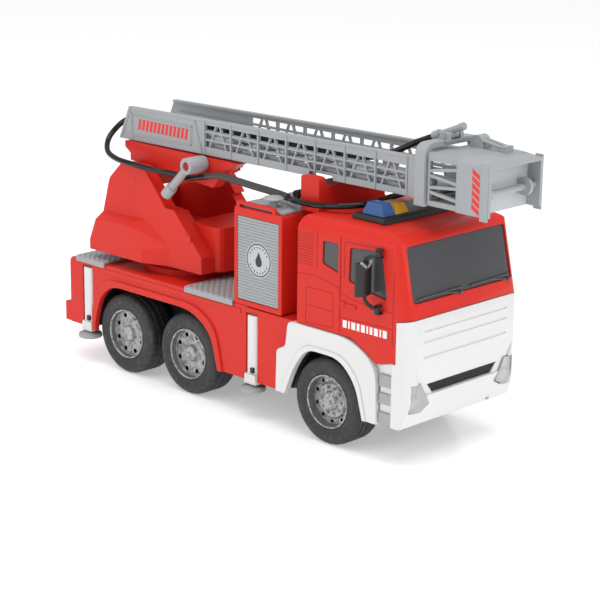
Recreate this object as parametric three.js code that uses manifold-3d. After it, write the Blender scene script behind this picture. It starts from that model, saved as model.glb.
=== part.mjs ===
// Toy fire engine with a swivelling, lifting and extending ladder.
// Millimetres. +X is forward, +Y is the driver's left, +Z is up. The wheels stand on Z = 0
// and the origin is the middle of the outline, on the ground.
// The shape is mirrored about the plane Y = 0, apart from the crank, the pump and the hose.

import * as THREE from 'three';
import { mergeVertices } from 'three/addons/utils/BufferGeometryUtils.js';
import Module from 'manifold-3d';

const wasm = await Module();
wasm.setup();

// ---------------------------------------------------------------- driving dimensions

const GAP = 0.3; // between pieces that touch
const WALL = 2.4; // moulded shells
const SIDES = [['left', 1], ['right', -1]];

// running gear
const TYRE_RADIUS = 27.5;
const RIM_RADIUS = 17.3;
const AXLE_RADIUS = 2;
const BEARING_RADIUS = 2.18;
const REAR_AXLE_X = -114.5;
const MIDDLE_AXLE_X = -52;
const FRONT_AXLE_X = 78.5;
const REAR_TRACK = 46.2; // middle plane to the outer face of a tyre
const FRONT_TRACK = 49.9;
const TYRE_WIDTH = 21;

// chassis
const CHASSIS_REAR = -171.5;
const CHASSIS_FRONT = 131;
const CHASSIS_HALF = 47.5;
const SKIRT_Z = 24;
const DECK_Z = 72.5;
const BUMPER_REAR = -178;
const TRAY_HALF = 22;
const TRAY_BOTTOM = 17;
const TRAY_TOP = 64;
const TRAY_FRONT = 112;

// locker and ladder rest
const LOCKER_REAR = -5.9;
const LOCKER_FRONT = 36.3;
const LOCKER_TOP = 135.5;
const REST_REAR = 35;
const REST_FRONT = 50.5;
const REST_TOP = 159.4;

// cab
const CAB_REAR = 53;
const CAB_HALF = 50.5;
const CAB_SILL = 72.9;
const FENDER_HALF = 51.5;

// turntable
const SWIVEL_X = -98;
const TURRET_BOTTOM = 80;
const CHEEK_INNER = 27.5;
const CHEEK_OUTER = 36.5;
const SHOULDER_OUTER = 44.2;
const SPIGOT_RADIUS = 12;
const PEDESTAL_RIBS = 16;

// ladder
const LIFT_X = -116;
const LIFT_Z = 134;
const LADDER_HALF = 21.5;
const LADDER_REAR = -147.5;
const LADDER_SLANT = 10; // the rear end leans forward by so much
const LADDER_FRONT = 130.7;
const INNER_HALF = 18.6;
const INNER_FLOOR_Z = 161.3;
const INNER_TOP_Z = 170.5;
const TIP_HALF = 24.7;
const TIP_FRONT = 178;

// crank, rack and pinion, module 1
const CRANK_X = -59.5;
const CRANK_Z = 151.2;
const PINION_TEETH = 18;
const CRANK_THROW = 30.5;

// friction drive, module 1
const DRIVE_TEETH = 14;
const DRIVE_PINION_TEETH = 10;

// pump
const PUMP_X = 19;
const PUMP_Y = -37.9;
const OUTLET_X = 17;
const OUTLET_Y = -14;
const OUTLET_Z = 142;

// hose
const HOSE_RADIUS = 1.9;
const SLEEVE_RADIUS = 2.8;

// ---------------------------------------------------------------- finishes

const FINISHES = {
  red: [0xd32f22, 0.32, 0],
  white: [0xf1f1ef, 0.35, 0],
  grey: [0xa4a8ab, 0.45, 0],
  black: [0x1b1c1d, 0.5, 0],
  glazing: [0x3d3f42, 0.25, 0],
  tyre: [0x3a3a3b, 0.85, 0],
  rim: [0xb9bdbf, 0.35, 0.4],
  steel: [0xb4b6b8, 0.3, 1],
  blue: [0x2b5fa8, 0.15, 0],
  yellow: [0xf0b41e, 0.2, 0],
  clear: [0xd8dcdc, 0.1, 0],
  hose: [0x101111, 0.2, 0],
  sleeve: [0x3b3a3b, 0.7, 0],
};

const model = new THREE.Group();

// ---------------------------------------------------------------- solids

// A closed geometry as a solid that can be joined and cut, with its faces turned outwards.
function solid(geometry) {
  geometry.deleteAttribute('normal');
  geometry.deleteAttribute('uv');
  const merged = mergeVertices(geometry, 1e-4);
  const points = merged.attributes.position.array;
  const index = merged.index.array;
  const kept = [];
  let volume = 0;
  for (let i = 0; i < index.length; i += 3) {
    const [a, b, c] = [index[i], index[i + 1], index[i + 2]];
    if (a === b || b === c || c === a) continue;
    kept.push(a, b, c);
    const corner = (n) => new THREE.Vector3().fromArray(points, 3 * n);
    volume += corner(a).dot(corner(b).cross(corner(c)));
  }
  const triVerts = new Uint32Array(kept);
  if (volume < 0) {
    for (let i = 0; i < triVerts.length; i += 3) {
      [triVerts[i], triVerts[i + 1]] = [triVerts[i + 1], triVerts[i]];
    }
  }
  const vertProperties = new Float32Array(points);
  return new wasm.Manifold(new wasm.Mesh({ numProp: 3, vertProperties, triVerts }));
}

const join = (...solids) => solids.reduce((whole, next) => whole.add(next));
const cut = (body, ...tools) => tools.reduce((rest, tool) => rest.subtract(tool), body);

// The mesh for a finished solid, in the model and with its own material.
function piece(name, body, finish) {
  const { vertProperties, triVerts, numProp } = body.getMesh();
  const positions = new Float32Array((vertProperties.length / numProp) * 3);
  for (let i = 0; i < positions.length / 3; i += 1) {
    for (let k = 0; k < 3; k += 1) positions[3 * i + k] = vertProperties[numProp * i + k];
  }
  const geometry = new THREE.BufferGeometry();
  geometry.setAttribute('position', new THREE.BufferAttribute(positions, 3));
  geometry.setIndex(Array.from(triVerts));
  geometry.computeVertexNormals();
  const [color, roughness, metalness] = FINISHES[finish];
  const mesh = new THREE.Mesh(geometry, new THREE.MeshStandardMaterial({ color, roughness, metalness }));
  mesh.name = name;
  model.add(mesh);
  return mesh;
}

// An outline through the points. A third number rounds that corner, starting so far from it.
function outline(points) {
  const shape = new THREE.Shape();
  const at = (i) => points[(i + points.length) % points.length];
  points.forEach(([x, y, round = 0], i) => {
    const towards = ([px, py]) => {
      const length = Math.hypot(px - x, py - y);
      return [x + ((px - x) * round) / length, y + ((py - y) * round) / length];
    };
    const start = round ? towards(at(i - 1)) : [x, y];
    if (i === 0) shape.moveTo(...start);
    else shape.lineTo(...start);
    if (round) shape.quadraticCurveTo(x, y, ...towards(at(i + 1)));
  });
  shape.closePath();
  return shape;
}

const asShape = (drawn) => (Array.isArray(drawn) ? outline(drawn) : drawn);

// A prism of the outline. Each axis has its own drawing plane: Y draws (x, z), X draws (y, z).
function prism(axis, drawn, from, to, curveSegments = 3) {
  const settings = { depth: to - from, bevelEnabled: false, curveSegments };
  const geometry = new THREE.ExtrudeGeometry(asShape(drawn), settings);
  if (axis === 'y') geometry.rotateX(Math.PI / 2).translate(0, to, 0);
  if (axis === 'z') geometry.translate(0, 0, from);
  if (axis === 'x') {
    const turn = new THREE.Matrix4();
    turn.makeBasis(new THREE.Vector3(0, 1, 0), new THREE.Vector3(0, 0, 1), new THREE.Vector3(1, 0, 0));
    geometry.applyMatrix4(turn).translate(from, 0, 0);
  }
  return solid(geometry);
}

function block(x0, x1, y0, y1, z0, z1) {
  const geometry = new THREE.BoxGeometry(x1 - x0, y1 - y0, z1 - z0);
  geometry.translate((x0 + x1) / 2, (y0 + y1) / 2, (z0 + z1) / 2);
  return solid(geometry);
}

// A wall that lies along X with windows cut through it.
const pierced = (wall, windows) => cut(wall, join(...windows.map((corners) => prism('y', corners, 0, 60))));

// A body turned about a line along the axis. The profile holds (radius, distance along the axis).
function turned(axis, profile, segments = 24, place = [0, 0, 0]) {
  const geometry = new THREE.LatheGeometry(profile.map(([r, h]) => new THREE.Vector2(r, h)), segments);
  if (axis === 'z') geometry.rotateX(Math.PI / 2);
  if (axis === 'x') geometry.rotateZ(-Math.PI / 2);
  return solid(geometry.translate(...place));
}

// A plain cylinder along the axis, between two distances on it.
function rod(axis, radius, from, to, place, segments = 16) {
  return turned(axis, [[0, from], [radius, from], [radius, to], [0, to]], segments, place);
}

// A straight-sided loft between two outlines of as many points, drawn (x, z) at two distances along Y.
function loft(first, y0, second, y1) {
  const count = first.length;
  const positions = [];
  first.forEach(([x, z]) => positions.push(x, y0, z));
  second.forEach(([x, z]) => positions.push(x, y1, z));
  const index = [];
  for (let i = 0; i < count; i += 1) {
    const next = (i + 1) % count;
    index.push(i, next, count + next, i, count + next, count + i);
  }
  for (let i = 1; i < count - 1; i += 1) {
    index.push(0, i + 1, i, count, count + i, count + i + 1);
  }
  const geometry = new THREE.BufferGeometry();
  geometry.setAttribute('position', new THREE.Float32BufferAttribute(positions, 3));
  geometry.setIndex(index);
  return solid(geometry);
}

// The mirror image on the other side of the middle plane.
function mirrored(body) {
  const { vertProperties, triVerts } = body.getMesh();
  const flipped = vertProperties.map((value, i) => (i % 3 === 1 ? -value : value));
  const turnedOver = triVerts.slice();
  for (let i = 0; i < turnedOver.length; i += 3) {
    [turnedOver[i], turnedOver[i + 1]] = [turnedOver[i + 1], turnedOver[i]];
  }
  return new wasm.Manifold(new wasm.Mesh({ numProp: 3, vertProperties: flipped, triVerts: turnedOver }));
}

const onSide = (body, side) => (side > 0 ? body : mirrored(body));

// Both a solid on the left side and its mirror image.
const bothSides = (body) => join(body, mirrored(body));

// A tube of round section along hand-picked points.
function tube(points, radius, steps, sides = 8) {
  const path = new THREE.CatmullRomCurve3(points.map((p) => new THREE.Vector3(...p)), false, 'centripetal');
  const section = new THREE.Shape();
  for (let i = 0; i < sides; i += 1) {
    const angle = (2 * Math.PI * i) / sides;
    const corner = [radius * Math.cos(angle), radius * Math.sin(angle)];
    if (i === 0) section.moveTo(...corner);
    else section.lineTo(...corner);
  }
  section.closePath();
  return solid(new THREE.ExtrudeGeometry(section, { steps, extrudePath: path, bevelEnabled: false }));
}

// ---------------------------------------------------------------- gears

// The outline of a spur gear of module 1 with straight-flanked teeth, about the point (x, z).
function gearOutline(teeth, x, z, phase) {
  const pitchRadius = teeth / 2;
  const step = (2 * Math.PI) / teeth;
  const corners = [
    [pitchRadius - 1.15, -0.86],
    [pitchRadius + 0.8, -0.32],
    [pitchRadius + 0.8, 0.32],
    [pitchRadius - 1.15, 0.86],
  ];
  const points = [];
  for (let i = 0; i < teeth; i += 1) {
    for (const [radius, offset] of corners) {
      const angle = phase + i * step + offset / radius;
      points.push([x + radius * Math.cos(angle), z + radius * Math.sin(angle)]);
    }
  }
  return points;
}

// ---------------------------------------------------------------- wheels and axles

const tyreProfile = (width) => [
  [RIM_RADIUS, -width / 2],
  [TYRE_RADIUS - 3, -width / 2 - 0.4],
  [TYRE_RADIUS, -width / 2 + 2.4],
  [TYRE_RADIUS, width / 2 - 2.4],
  [TYRE_RADIUS - 3, width / 2 + 0.4],
  [RIM_RADIUS, width / 2],
  [RIM_RADIUS, -width / 2],
];

// The rim as (radius, distance inwards from its outer face); dish is the depth of its centre.
const rimProfile = (width, dish) => [
  [0, dish - 3.2],
  [5.2, dish - 3.2],
  [6, dish],
  [13.8, dish],
  [15.2, 0.6],
  [RIM_RADIUS - GAP, 0],
  [RIM_RADIUS - GAP, width - 1],
  [6.4, width - 1],
  [AXLE_RADIUS + 0.1, width - 1],
  [AXLE_RADIUS + 0.1, dish],
  [0, dish],
];

function axleSet(prefix, x, track, dish) {
  const place = [x, 0, TYRE_RADIUS];
  const axleEnd = track - dish - 0.5;
  piece(`${prefix}_axle`, rod('y', AXLE_RADIUS, -axleEnd, axleEnd, place), 'steel');
  for (const [side, sign] of SIDES) {
    const tyre = turned('y', tyreProfile(TYRE_WIDTH), 28, [x, track - TYRE_WIDTH / 2, TYRE_RADIUS]);
    piece(`${prefix}_tyre_${side}`, onSide(tyre, sign), 'tyre');
    const inwards = rimProfile(TYRE_WIDTH, dish).map(([r, depth]) => [r, track - depth]);
    piece(`${prefix}_rim_${side}`, onSide(turned('y', inwards, 20, place), sign), 'rim');
  }
}

axleSet('rear', REAR_AXLE_X, REAR_TRACK, 4);
axleSet('middle', MIDDLE_AXLE_X, REAR_TRACK, 4);
axleSet('front', FRONT_AXLE_X, FRONT_TRACK, 5);

// ---------------------------------------------------------------- chassis

const REAR_ARCH = [
  [-144, SKIRT_Z - 30], [-144, 30], [-139, 48, 7], [-127, 59.5, 9],
  [-44, 59.5, 12], [-27, 47, 8], [-20.5, 24, 4], [-20.5, SKIRT_Z - 30],
];
const FRONT_ARCH = [
  [44, SKIRT_Z - 30], [44, 25], [52.5, 45, 8], [62.7, 58.3, 8],
  [90.8, 58.3, 9], [104, 45, 8], [110, 24], [110, SKIRT_Z - 30],
];
const OUTRIGGERS = [['rear', -152.5], ['middle', 10.3]];
const BEAM_Z = 48;
const BEAM_HALF = 2.2;
const BEAM_OFFSET = 2.8; // the left and right beams pass each other
const BEAM_INNER = -14;

function grown(points, by) {
  const middle = (Math.min(...points.map((p) => p[0])) + Math.max(...points.map((p) => p[0]))) / 2;
  return points.map(([x, z, round]) => [x + Math.sign(x - middle) * by, z + (z > SKIRT_Z ? by : 0), round]);
}

const axleHole = (x, radius = BEARING_RADIUS) => rod('y', radius, -60, 60, [x, 0, TYRE_RADIUS], 12);

// The ribbed ring that the turret turns on.
function pedestal() {
  const ring = turned('z', [
    [SPIGOT_RADIUS + GAP, DECK_Z - 1], [33, DECK_Z - 1], [33, 75.5], [30, 76], [30, TURRET_BOTTOM - GAP],
    [SPIGOT_RADIUS + GAP, TURRET_BOTTOM - GAP], [SPIGOT_RADIUS + GAP, DECK_Z - 1],
  ], 32, [SWIVEL_X, 0, 0]);
  const ribs = [];
  for (let i = 0; i < PEDESTAL_RIBS; i += 1) {
    const angle = (2 * Math.PI * i) / PEDESTAL_RIBS;
    const x = SWIVEL_X + 30.2 * Math.cos(angle);
    const y = 30.2 * Math.sin(angle);
    ribs.push(block(x - 0.5, x + 0.5, y - 0.5, y + 0.5, 75, TURRET_BOTTOM - GAP));
  }
  return join(ring, ...ribs);
}

function chassisBody() {
  const side = [
    [CHASSIS_REAR, 25], [CHASSIS_REAR, DECK_Z, 5], [4.8, DECK_Z], [6.5, DECK_Z - 0.6],
    [CHASSIS_FRONT, DECK_Z - 0.6], [CHASSIS_FRONT, 62], [96, 62], [84, 66], [56, 66], [46, 54],
    [37, 50], [37, SKIRT_Z], [-158.5, 25],
  ];
  const inside = [
    [CHASSIS_REAR + WALL, 10], [CHASSIS_REAR + WALL, DECK_Z - WALL],
    [CHASSIS_FRONT - WALL, DECK_Z - WALL], [CHASSIS_FRONT - WALL, 10],
  ];
  const inner = CHASSIS_HALF - WALL;
  let body = prism('y', side, -CHASSIS_HALF, CHASSIS_HALF);
  body = cut(body, prism('y', inside, -inner, inner), prism('y', REAR_ARCH, -60, 60));
  const lipOuter = prism('y', grown(REAR_ARCH, 4.2), inner, CHASSIS_HALF + 1.3);
  const lip = cut(lipOuter, prism('y', REAR_ARCH, 40, 60), block(-200, 60, 40, 60, -10, SKIRT_Z));
  const ledge = block(-134, 0, inner, CHASSIS_HALF + 0.5, 67, 69.8); // below the edge of the deck
  const bumper = block(BUMPER_REAR, CHASSIS_REAR + 1, -47, 47, 25, 38.4);
  body = join(body, bothSides(lip), bothSides(ledge), bumper);
  for (const [, x] of OUTRIGGERS) {
    body = cut(body, bothSides(block(x - 5.4, x + 5.4, 40, 60, 10, 68.6)));
  }
  const pivotHole = rod('z', SPIGOT_RADIUS + GAP, 60, 80, [SWIVEL_X, 0, 0], 24);
  return join(cut(body, pivotHole), pedestal());
}
piece('chassis_body', chassisBody(), 'red');

const GEAR_DISTANCE = (DRIVE_TEETH + DRIVE_PINION_TEETH) / 2;
const IDLER_BEARING = 0.7; // direction from the axle to the idler, and from that to the flywheel
const FLYWHEEL_BEARING = 0.3;
const IDLER = [
  REAR_AXLE_X + GEAR_DISTANCE * Math.cos(IDLER_BEARING),
  TYRE_RADIUS + GEAR_DISTANCE * Math.sin(IDLER_BEARING),
];
const FLYWHEEL = [
  IDLER[0] + GEAR_DISTANCE * Math.cos(FLYWHEEL_BEARING),
  IDLER[1] + GEAR_DISTANCE * Math.sin(FLYWHEEL_BEARING),
];

// The black tray carries the axles and outrigger beams and lines the wheel arches.
function baseTray() {
  const liner = (arch, reach) => {
    const canopy = prism('y', grown(arch, 1.6), TRAY_HALF - 1, reach);
    return cut(canopy, prism('y', arch, 0, 60), block(-200, 200, 0, 60, -10, SKIRT_Z + 3));
  };
  const inner = TRAY_HALF - WALL;
  let body = block(CHASSIS_REAR + 4, TRAY_FRONT, -TRAY_HALF, TRAY_HALF, TRAY_BOTTOM, TRAY_TOP);
  body = cut(body, block(CHASSIS_REAR + 6.4, TRAY_FRONT - WALL, -inner, inner, TRAY_BOTTOM + WALL, 90));
  body = join(body, bothSides(liner(REAR_ARCH, CHASSIS_HALF - WALL - GAP)));
  const upperLimit = block(-200, 200, -60, 60, 0, DECK_Z - WALL - GAP);
  body = join(body, bothSides(liner(FRONT_ARCH, CHASSIS_HALF - WALL - GAP))).intersect(upperLimit);
  for (const x of [REAR_AXLE_X, MIDDLE_AXLE_X, FRONT_AXLE_X]) body = cut(body, axleHole(x));
  for (const [x, z] of [IDLER, FLYWHEEL]) body = cut(body, rod('y', 1.68, -30, 30, [x, 0, z]));
  for (const [, x] of OUTRIGGERS) {
    for (const [, sign] of SIDES) {
      const middle = x + sign * BEAM_OFFSET;
      const slot = block(
        middle - BEAM_HALF - GAP, middle + BEAM_HALF + GAP, inner - 2, TRAY_HALF + 2,
        BEAM_Z - 4 - GAP, BEAM_Z + 4 + GAP,
      );
      body = cut(body, onSide(slot, sign));
    }
  }
  return body;
}
piece('base_tray', baseTray(), 'black');

// Tread plates with a rounded lip over each side of the deck.
function treadPlate(from, to) {
  const half = CHASSIS_HALF + 1.2;
  const section = [
    [-half, DECK_Z - 2], [-half, DECK_Z + 2, 1.8], [half, DECK_Z + 2, 1.8], [half, DECK_Z - 2],
    [CHASSIS_HALF + GAP, DECK_Z - 2], [CHASSIS_HALF + GAP, DECK_Z + GAP],
    [-CHASSIS_HALF - GAP, DECK_Z + GAP], [-CHASSIS_HALF - GAP, DECK_Z - 2],
  ];
  return prism('x', section, from, to);
}
piece('rear_tread_plate', treadPlate(-163.5, -134), 'grey');
piece('middle_tread_plate', treadPlate(-52.2, LOCKER_REAR - 1), 'grey');

// ---------------------------------------------------------------- outriggers

for (const [station, x] of OUTRIGGERS) {
  for (const [side, sign] of SIDES) {
    const post = prism('z', [
      [x - 4.6, 44], [x - 4.6, 48.6, 3.6], [x + 4.6, 48.6, 3.6], [x + 4.6, 44],
    ], 22.5, 67.5, 4);
    const flare = loft(
      [[x - 4.6, 29], [x + 4.6, 29], [x + 5.2, 22.5], [x - 5.2, 22.5]], 42.8,
      [[x - 4.6, 29], [x + 4.6, 29], [x + 5.2, 22.5], [x - 5.2, 22.5]], 49.4,
    );
    const beamMiddle = x + sign * BEAM_OFFSET;
    const beam = block(
      beamMiddle - BEAM_HALF, beamMiddle + BEAM_HALF, BEAM_INNER, 45, BEAM_Z - 4, BEAM_Z + 4,
    );
    const bore = block(x - 1.6, x + 1.6, 44.5, 47.7, 0, 44.5);
    piece(`${station}_outrigger_${side}`, onSide(cut(join(post, flare, beam), bore), sign), 'white');
    const disc = turned('z', [[0, 17.8], [8, 17.8], [8.4, 18.6], [8, 20.4], [0, 21.6]], 16, [x, 46.1, 0]);
    const stem = block(x - 1.3, x + 1.3, 44.8, 47.4, 21, 43.5);
    piece(`${station}_jack_foot_${side}`, onSide(join(disc, stem), sign), 'grey');
  }
}

// ---------------------------------------------------------------- friction drive

// Two gears mesh when a tooth of one points at the other and a gap of the other points back.
const facing = (angle) => angle;
const gapFacing = (angle, teeth) => angle + Math.PI + Math.PI / teeth;

function gearWheel(teeth, [x, z], phase, from, to) {
  return prism('y', gearOutline(teeth, x, z, phase), from, to);
}

function frictionDrive() {
  const driveGear = gearWheel(DRIVE_TEETH, [REAR_AXLE_X, TYRE_RADIUS], facing(IDLER_BEARING), 2, 6);
  piece('drive_gear', cut(driveGear, axleHole(REAR_AXLE_X, AXLE_RADIUS + 0.1)), 'white');
  const shaft = ([x, z]) => rod('y', 1.5, -21.6, 21.6, [x, 0, z]);
  const pinionPhase = gapFacing(IDLER_BEARING, DRIVE_PINION_TEETH);
  const idler = join(
    gearWheel(DRIVE_PINION_TEETH, IDLER, pinionPhase, 1.5, 7),
    gearWheel(DRIVE_TEETH, IDLER, facing(FLYWHEEL_BEARING), 7, 10),
    shaft(IDLER),
  );
  piece('idler_gear', idler, 'white');
  const flywheelPhase = gapFacing(FLYWHEEL_BEARING, DRIVE_PINION_TEETH);
  const flywheel = join(
    gearWheel(DRIVE_PINION_TEETH, FLYWHEEL, flywheelPhase, 6.6, 10.4),
    rod('y', 9.2, -9, 0, [FLYWHEEL[0], 0, FLYWHEEL[1]], 24),
    shaft(FLYWHEEL),
  );
  piece('flywheel', flywheel, 'steel');
}
frictionDrive();

// ---------------------------------------------------------------- locker and pump

const SHUTTER = [-3.2, 33.4, 76, 130.5];

// The ladder rest stands against the front of the locker.
function ladderRest() {
  const column = block(REST_REAR, REST_FRONT, -20, 20, DECK_Z + GAP, 142);
  const hollow = block(REST_REAR + WALL, REST_FRONT - WALL, -18, 18, 0, 140);
  const saddle = block(REST_REAR, REST_FRONT, -30, 30, 137.5, 153.5);
  const lug = prism('y', [
    [REST_REAR, 150], [REST_REAR, REST_TOP, 1.5], [REST_FRONT, REST_TOP, 3], [REST_FRONT, 150],
  ], 24, 30);
  return join(cut(join(column, saddle), hollow), bothSides(lug));
}

// The holes in the roof for the pump's plunger and its riser.
const pumpHoles = () => [
  rod('z', 3.2, 120, 145, [PUMP_X, PUMP_Y, 0]), rod('z', 1.4, 120, 145, [OUTLET_X, OUTLET_Y, 0]),
];

// The bar through the locker that holds its two shutters, or the hole for it.
const shutterLink = (clearance) => block(
  25 - clearance, 29 + clearance, -CHASSIS_HALF + 1, CHASSIS_HALF - 1, 88 - clearance, 93 + clearance,
);

function lockerBody() {
  const side = [
    [LOCKER_REAR, DECK_Z + GAP], [LOCKER_REAR, LOCKER_TOP, 1], [LOCKER_FRONT, LOCKER_TOP, 2],
    [LOCKER_FRONT, DECK_Z + GAP],
  ];
  let body = prism('y', side, -CHASSIS_HALF, CHASSIS_HALF);
  const inner = CHASSIS_HALF - 1.5 * WALL;
  body = cut(body, block(LOCKER_REAR + WALL, LOCKER_FRONT - WALL, -inner, inner, 0, LOCKER_TOP - WALL));
  const [x0, x1, z0, z1] = SHUTTER;
  body = cut(body, bothSides(block(x0, x1, CHASSIS_HALF - 1.5, 60, z0, z1)));
  const railOuter = [[-4.5, LOCKER_TOP - 1], [-4.5, 139.6, 2], [29, 139.6, 2], [31, LOCKER_TOP - 1]];
  const railOpening = [[-1.6, LOCKER_TOP], [-1.6, 137.6], [27, 137.6], [28, LOCKER_TOP]];
  const rail = cut(
    prism('y', railOuter, CHASSIS_HALF - 2.4, CHASSIS_HALF - 0.2), prism('y', railOpening, 40, 60),
  );
  body = join(body, bothSides(rail), ladderRest());
  return cut(body, shutterLink(GAP), ...pumpHoles());
}
piece('locker_body', lockerBody(), 'red');

function shutter() {
  const [x0, x1, z0, z1] = SHUTTER;
  const face = CHASSIS_HALF - 0.1;
  const ribs = 18;
  const pitch = (z1 - z0 - 2 * GAP) / ribs;
  const section = [[face - 1.1, z0 + GAP], [face - 1.1, z1 - GAP]];
  for (let i = ribs; i > 0; i -= 1) {
    const top = z0 + GAP + i * pitch;
    section.push([face, top], [face, top - 0.75 * pitch]);
    section.push([face - 0.5, top - 0.8 * pitch], [face - 0.5, top - pitch]);
  }
  return prism('x', section, x0 + GAP, x1 - GAP);
}
piece('locker_shutters', join(bothSides(shutter()), shutterLink(0)), 'grey');

const PLATE_Z = LOCKER_TOP + GAP;
const plate = join(
  block(-4.5, 34.5, -44.2, 44.2, PLATE_Z, PLATE_Z + 1.4),
  rod('z', 7.8, PLATE_Z, PLATE_Z + 1.9, [PUMP_X - 1, PUMP_Y + 2.4, 0], 20),
);
piece('locker_top_plate', cut(plate, ...pumpHoles()), 'grey');

// The pump: a button on a plunger, returned by a spring inside the barrel.
const BUTTON_Z = PLATE_Z + 6.2;
piece('pump_button', turned('z', [
  [0, 118], [2.7, 118], [2.7, BUTTON_Z], [6.3, BUTTON_Z + 0.3], [6.8, BUTTON_Z + 1],
  [5.6, BUTTON_Z + 2], [2.8, BUTTON_Z + 2.7], [0, BUTTON_Z + 2.9],
], 20, [PUMP_X, PUMP_Y, 0]), 'grey');

function pumpSpring() {
  const turns = 5;
  const points = [];
  for (let i = 0; i <= turns * 6; i += 1) {
    const angle = (i * Math.PI) / 3;
    const height = 98.6 + (i / (turns * 6)) * 18.4;
    points.push([PUMP_X + 2.2 * Math.cos(angle), PUMP_Y + 2.2 * Math.sin(angle), height]);
  }
  return tube(points, 0.35, turns * 6, 4);
}
piece('pump_spring', pumpSpring(), 'steel');

// The pump body: a barrel below the button, a gallery, and a riser to the elbow for the hose.
function pumpBody() {
  const barrel = turned('z', [
    [0, 96], [4.2, 96], [4.2, LOCKER_TOP - WALL - GAP], [3.05, LOCKER_TOP - WALL - GAP],
    [3.05, 98], [0, 98],
  ], 20, [PUMP_X, PUMP_Y, 0]);
  const gallery = block(OUTLET_X - 1.5, OUTLET_X + 1.5, PUMP_Y + 3.5, OUTLET_Y + 1.2, 96.5, 99.5);
  const riser = rod('z', 1.2, 97, OUTLET_Z, [OUTLET_X, OUTLET_Y, 0], 10);
  const flange = rod('z', 3.2, PLATE_Z + 1.4 + GAP, PLATE_Z + 3, [OUTLET_X, OUTLET_Y, 0]);
  const elbow = rod('y', 2.6, OUTLET_Y - 2.5, OUTLET_Y + 5, [OUTLET_X, 0, OUTLET_Z]);
  return join(barrel, gallery, riser, flange, elbow);
}
piece('pump_body', pumpBody(), 'black');

// ---------------------------------------------------------------- cab

const MIRROR_PIVOT = [121.5, 53.4];
const MIRROR_KNUCKLES = [[127.9, 131.1], [94, 97.2]];
const FACE_RAKE = 0.222; // how far the front face leans back for each unit of height

// The outer form of the cab, or the same form smaller by the inset.
function cabForm(inset) {
  const side = [
    [CAB_REAR + inset, CAB_SILL - 5 * inset], [CAB_REAR + inset, 140.5 - inset, 5],
    [82, 142.4 - inset, 10], [112, 141.8 - inset, 8], [131.5 - inset, 139.2 - inset, 3],
    [136.5 - inset, 134 - inset, 3], [143.8 - inset, 97], [144 - inset, 92.3 + inset],
    [134.2 - inset, 90.4], [134.2 - inset, 65.3 - 5 * inset], [119.5, 61.3 - 5 * inset],
    [98.3, CAB_SILL - 5 * inset],
  ];
  const half = CAB_HALF - inset;
  const corner = 9;
  const front = 143.8 - inset + 97 * FACE_RAKE;
  const plan = new THREE.ExtrudeGeometry(outline([
    [0, -half], [front, -half, corner], [front, half, corner], [0, half],
  ]), { depth: 160, bevelEnabled: false, curveSegments: 5 });
  const lean = new THREE.Matrix4().set(1, 0, -FACE_RAKE, 0, 0, 1, 0, 0, 0, 0, 1, 0, 0, 0, 0, 1);
  plan.applyMatrix4(lean);
  const end = [
    [-half, 0], [-half, 134 - inset, 2], [-half + 6.5, 141.5 - inset, 4], [0, 144.5 - inset, 20],
    [half - 6.5, 141.5 - inset, 4], [half, 134 - inset, 2], [half, 0],
  ];
  return prism('y', side, -half, half).intersect(solid(plan)).intersect(prism('x', end, 0, 200));
}

// Window openings, drawn smaller by the inset: the windscreen as (y, z), the others as (x, z).
const windscreen = (inset) => [
  [-45.2 + inset, 101.4 + inset, 2], [-44.6 + inset, 134.4 - inset, 2.5],
  [44.6 - inset, 134.4 - inset, 2.5], [45.2 - inset, 101.4 + inset, 2],
];
const rearQuarter = (inset) => [
  [74 + inset, 114 + inset, 1.5], [74 + inset, 128.3 - inset, 1.5], [87 - inset, 128.6 - inset, 1.5],
  [87 - inset, 110.4 + inset, 1.5],
];
const doorWindow = (inset) => [
  [95.6 + inset, 107.3 + inset, 1.5], [96.4 + inset, 128 - inset, 1.5], [121.8 - inset, 130.2 - inset, 1.5],
  [126.6 - inset, 101.1 + inset, 2.5],
];
const windowTools = (inset) => join(
  prism('x', windscreen(inset), 125, 160),
  bothSides(prism('y', rearQuarter(inset), 40, 60)),
  bothSides(prism('y', doorWindow(inset), 40, 60)),
);

function cabShell() {
  const shell = cut(cabForm(0), cabForm(WALL));
  const [px, py] = MIRROR_PIVOT;
  const hingePlates = MIRROR_KNUCKLES.flatMap(([low, high]) => [low - GAP - 0.9, high + GAP].map((z) => (
    block(px - 1.8, px + 1.8, CAB_HALF - 0.6, py + 0.8, z, z + 0.9))));
  const door = [[88.6, 75], [88.6, 133], [89.4, 133], [89.4, 75]];
  const panelled = cut(shell, windowTools(0), bothSides(prism('y', door, CAB_HALF - 0.5, 60)));
  return join(panelled, bothSides(join(...hingePlates)));
}
piece('cab_shell', cabShell(), 'red');

// One dark insert carries all the windows, which stand in the openings from behind.
function cabGlazing() {
  const band = block(CAB_REAR, 160, -60, 60, 95, 136.5);
  const liner = cut(cabForm(WALL + GAP), cabForm(WALL + GAP + 1.3)).intersect(band);
  const panes = cut(cabForm(0.9), cabForm(WALL + 1.2)).intersect(windowTools(GAP));
  return join(liner, panes);
}
piece('cab_glazing', cabGlazing(), 'glazing');

// ---------------------------------------------------------------- front end

const MASK_FACE = 145.3;

function maskForm(inset) {
  const half = CAB_HALF + 0.3 - inset;
  const plan = [
    [100, -half], [MASK_FACE - inset, -half, 9], [MASK_FACE - inset, half, 9], [100, half],
  ];
  return prism('z', plan, 0, 120, 5);
}

const GRILLE = [[-27.3, 44.4], [-32.3, 50.6], [32.3, 50.6], [27.3, 44.4]];
const HEADLAMP = [[38.5, 52.5], [47, 52.5], [47, 34.5], [38.5, 34.5], [30.5, 38.5]];

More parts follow.
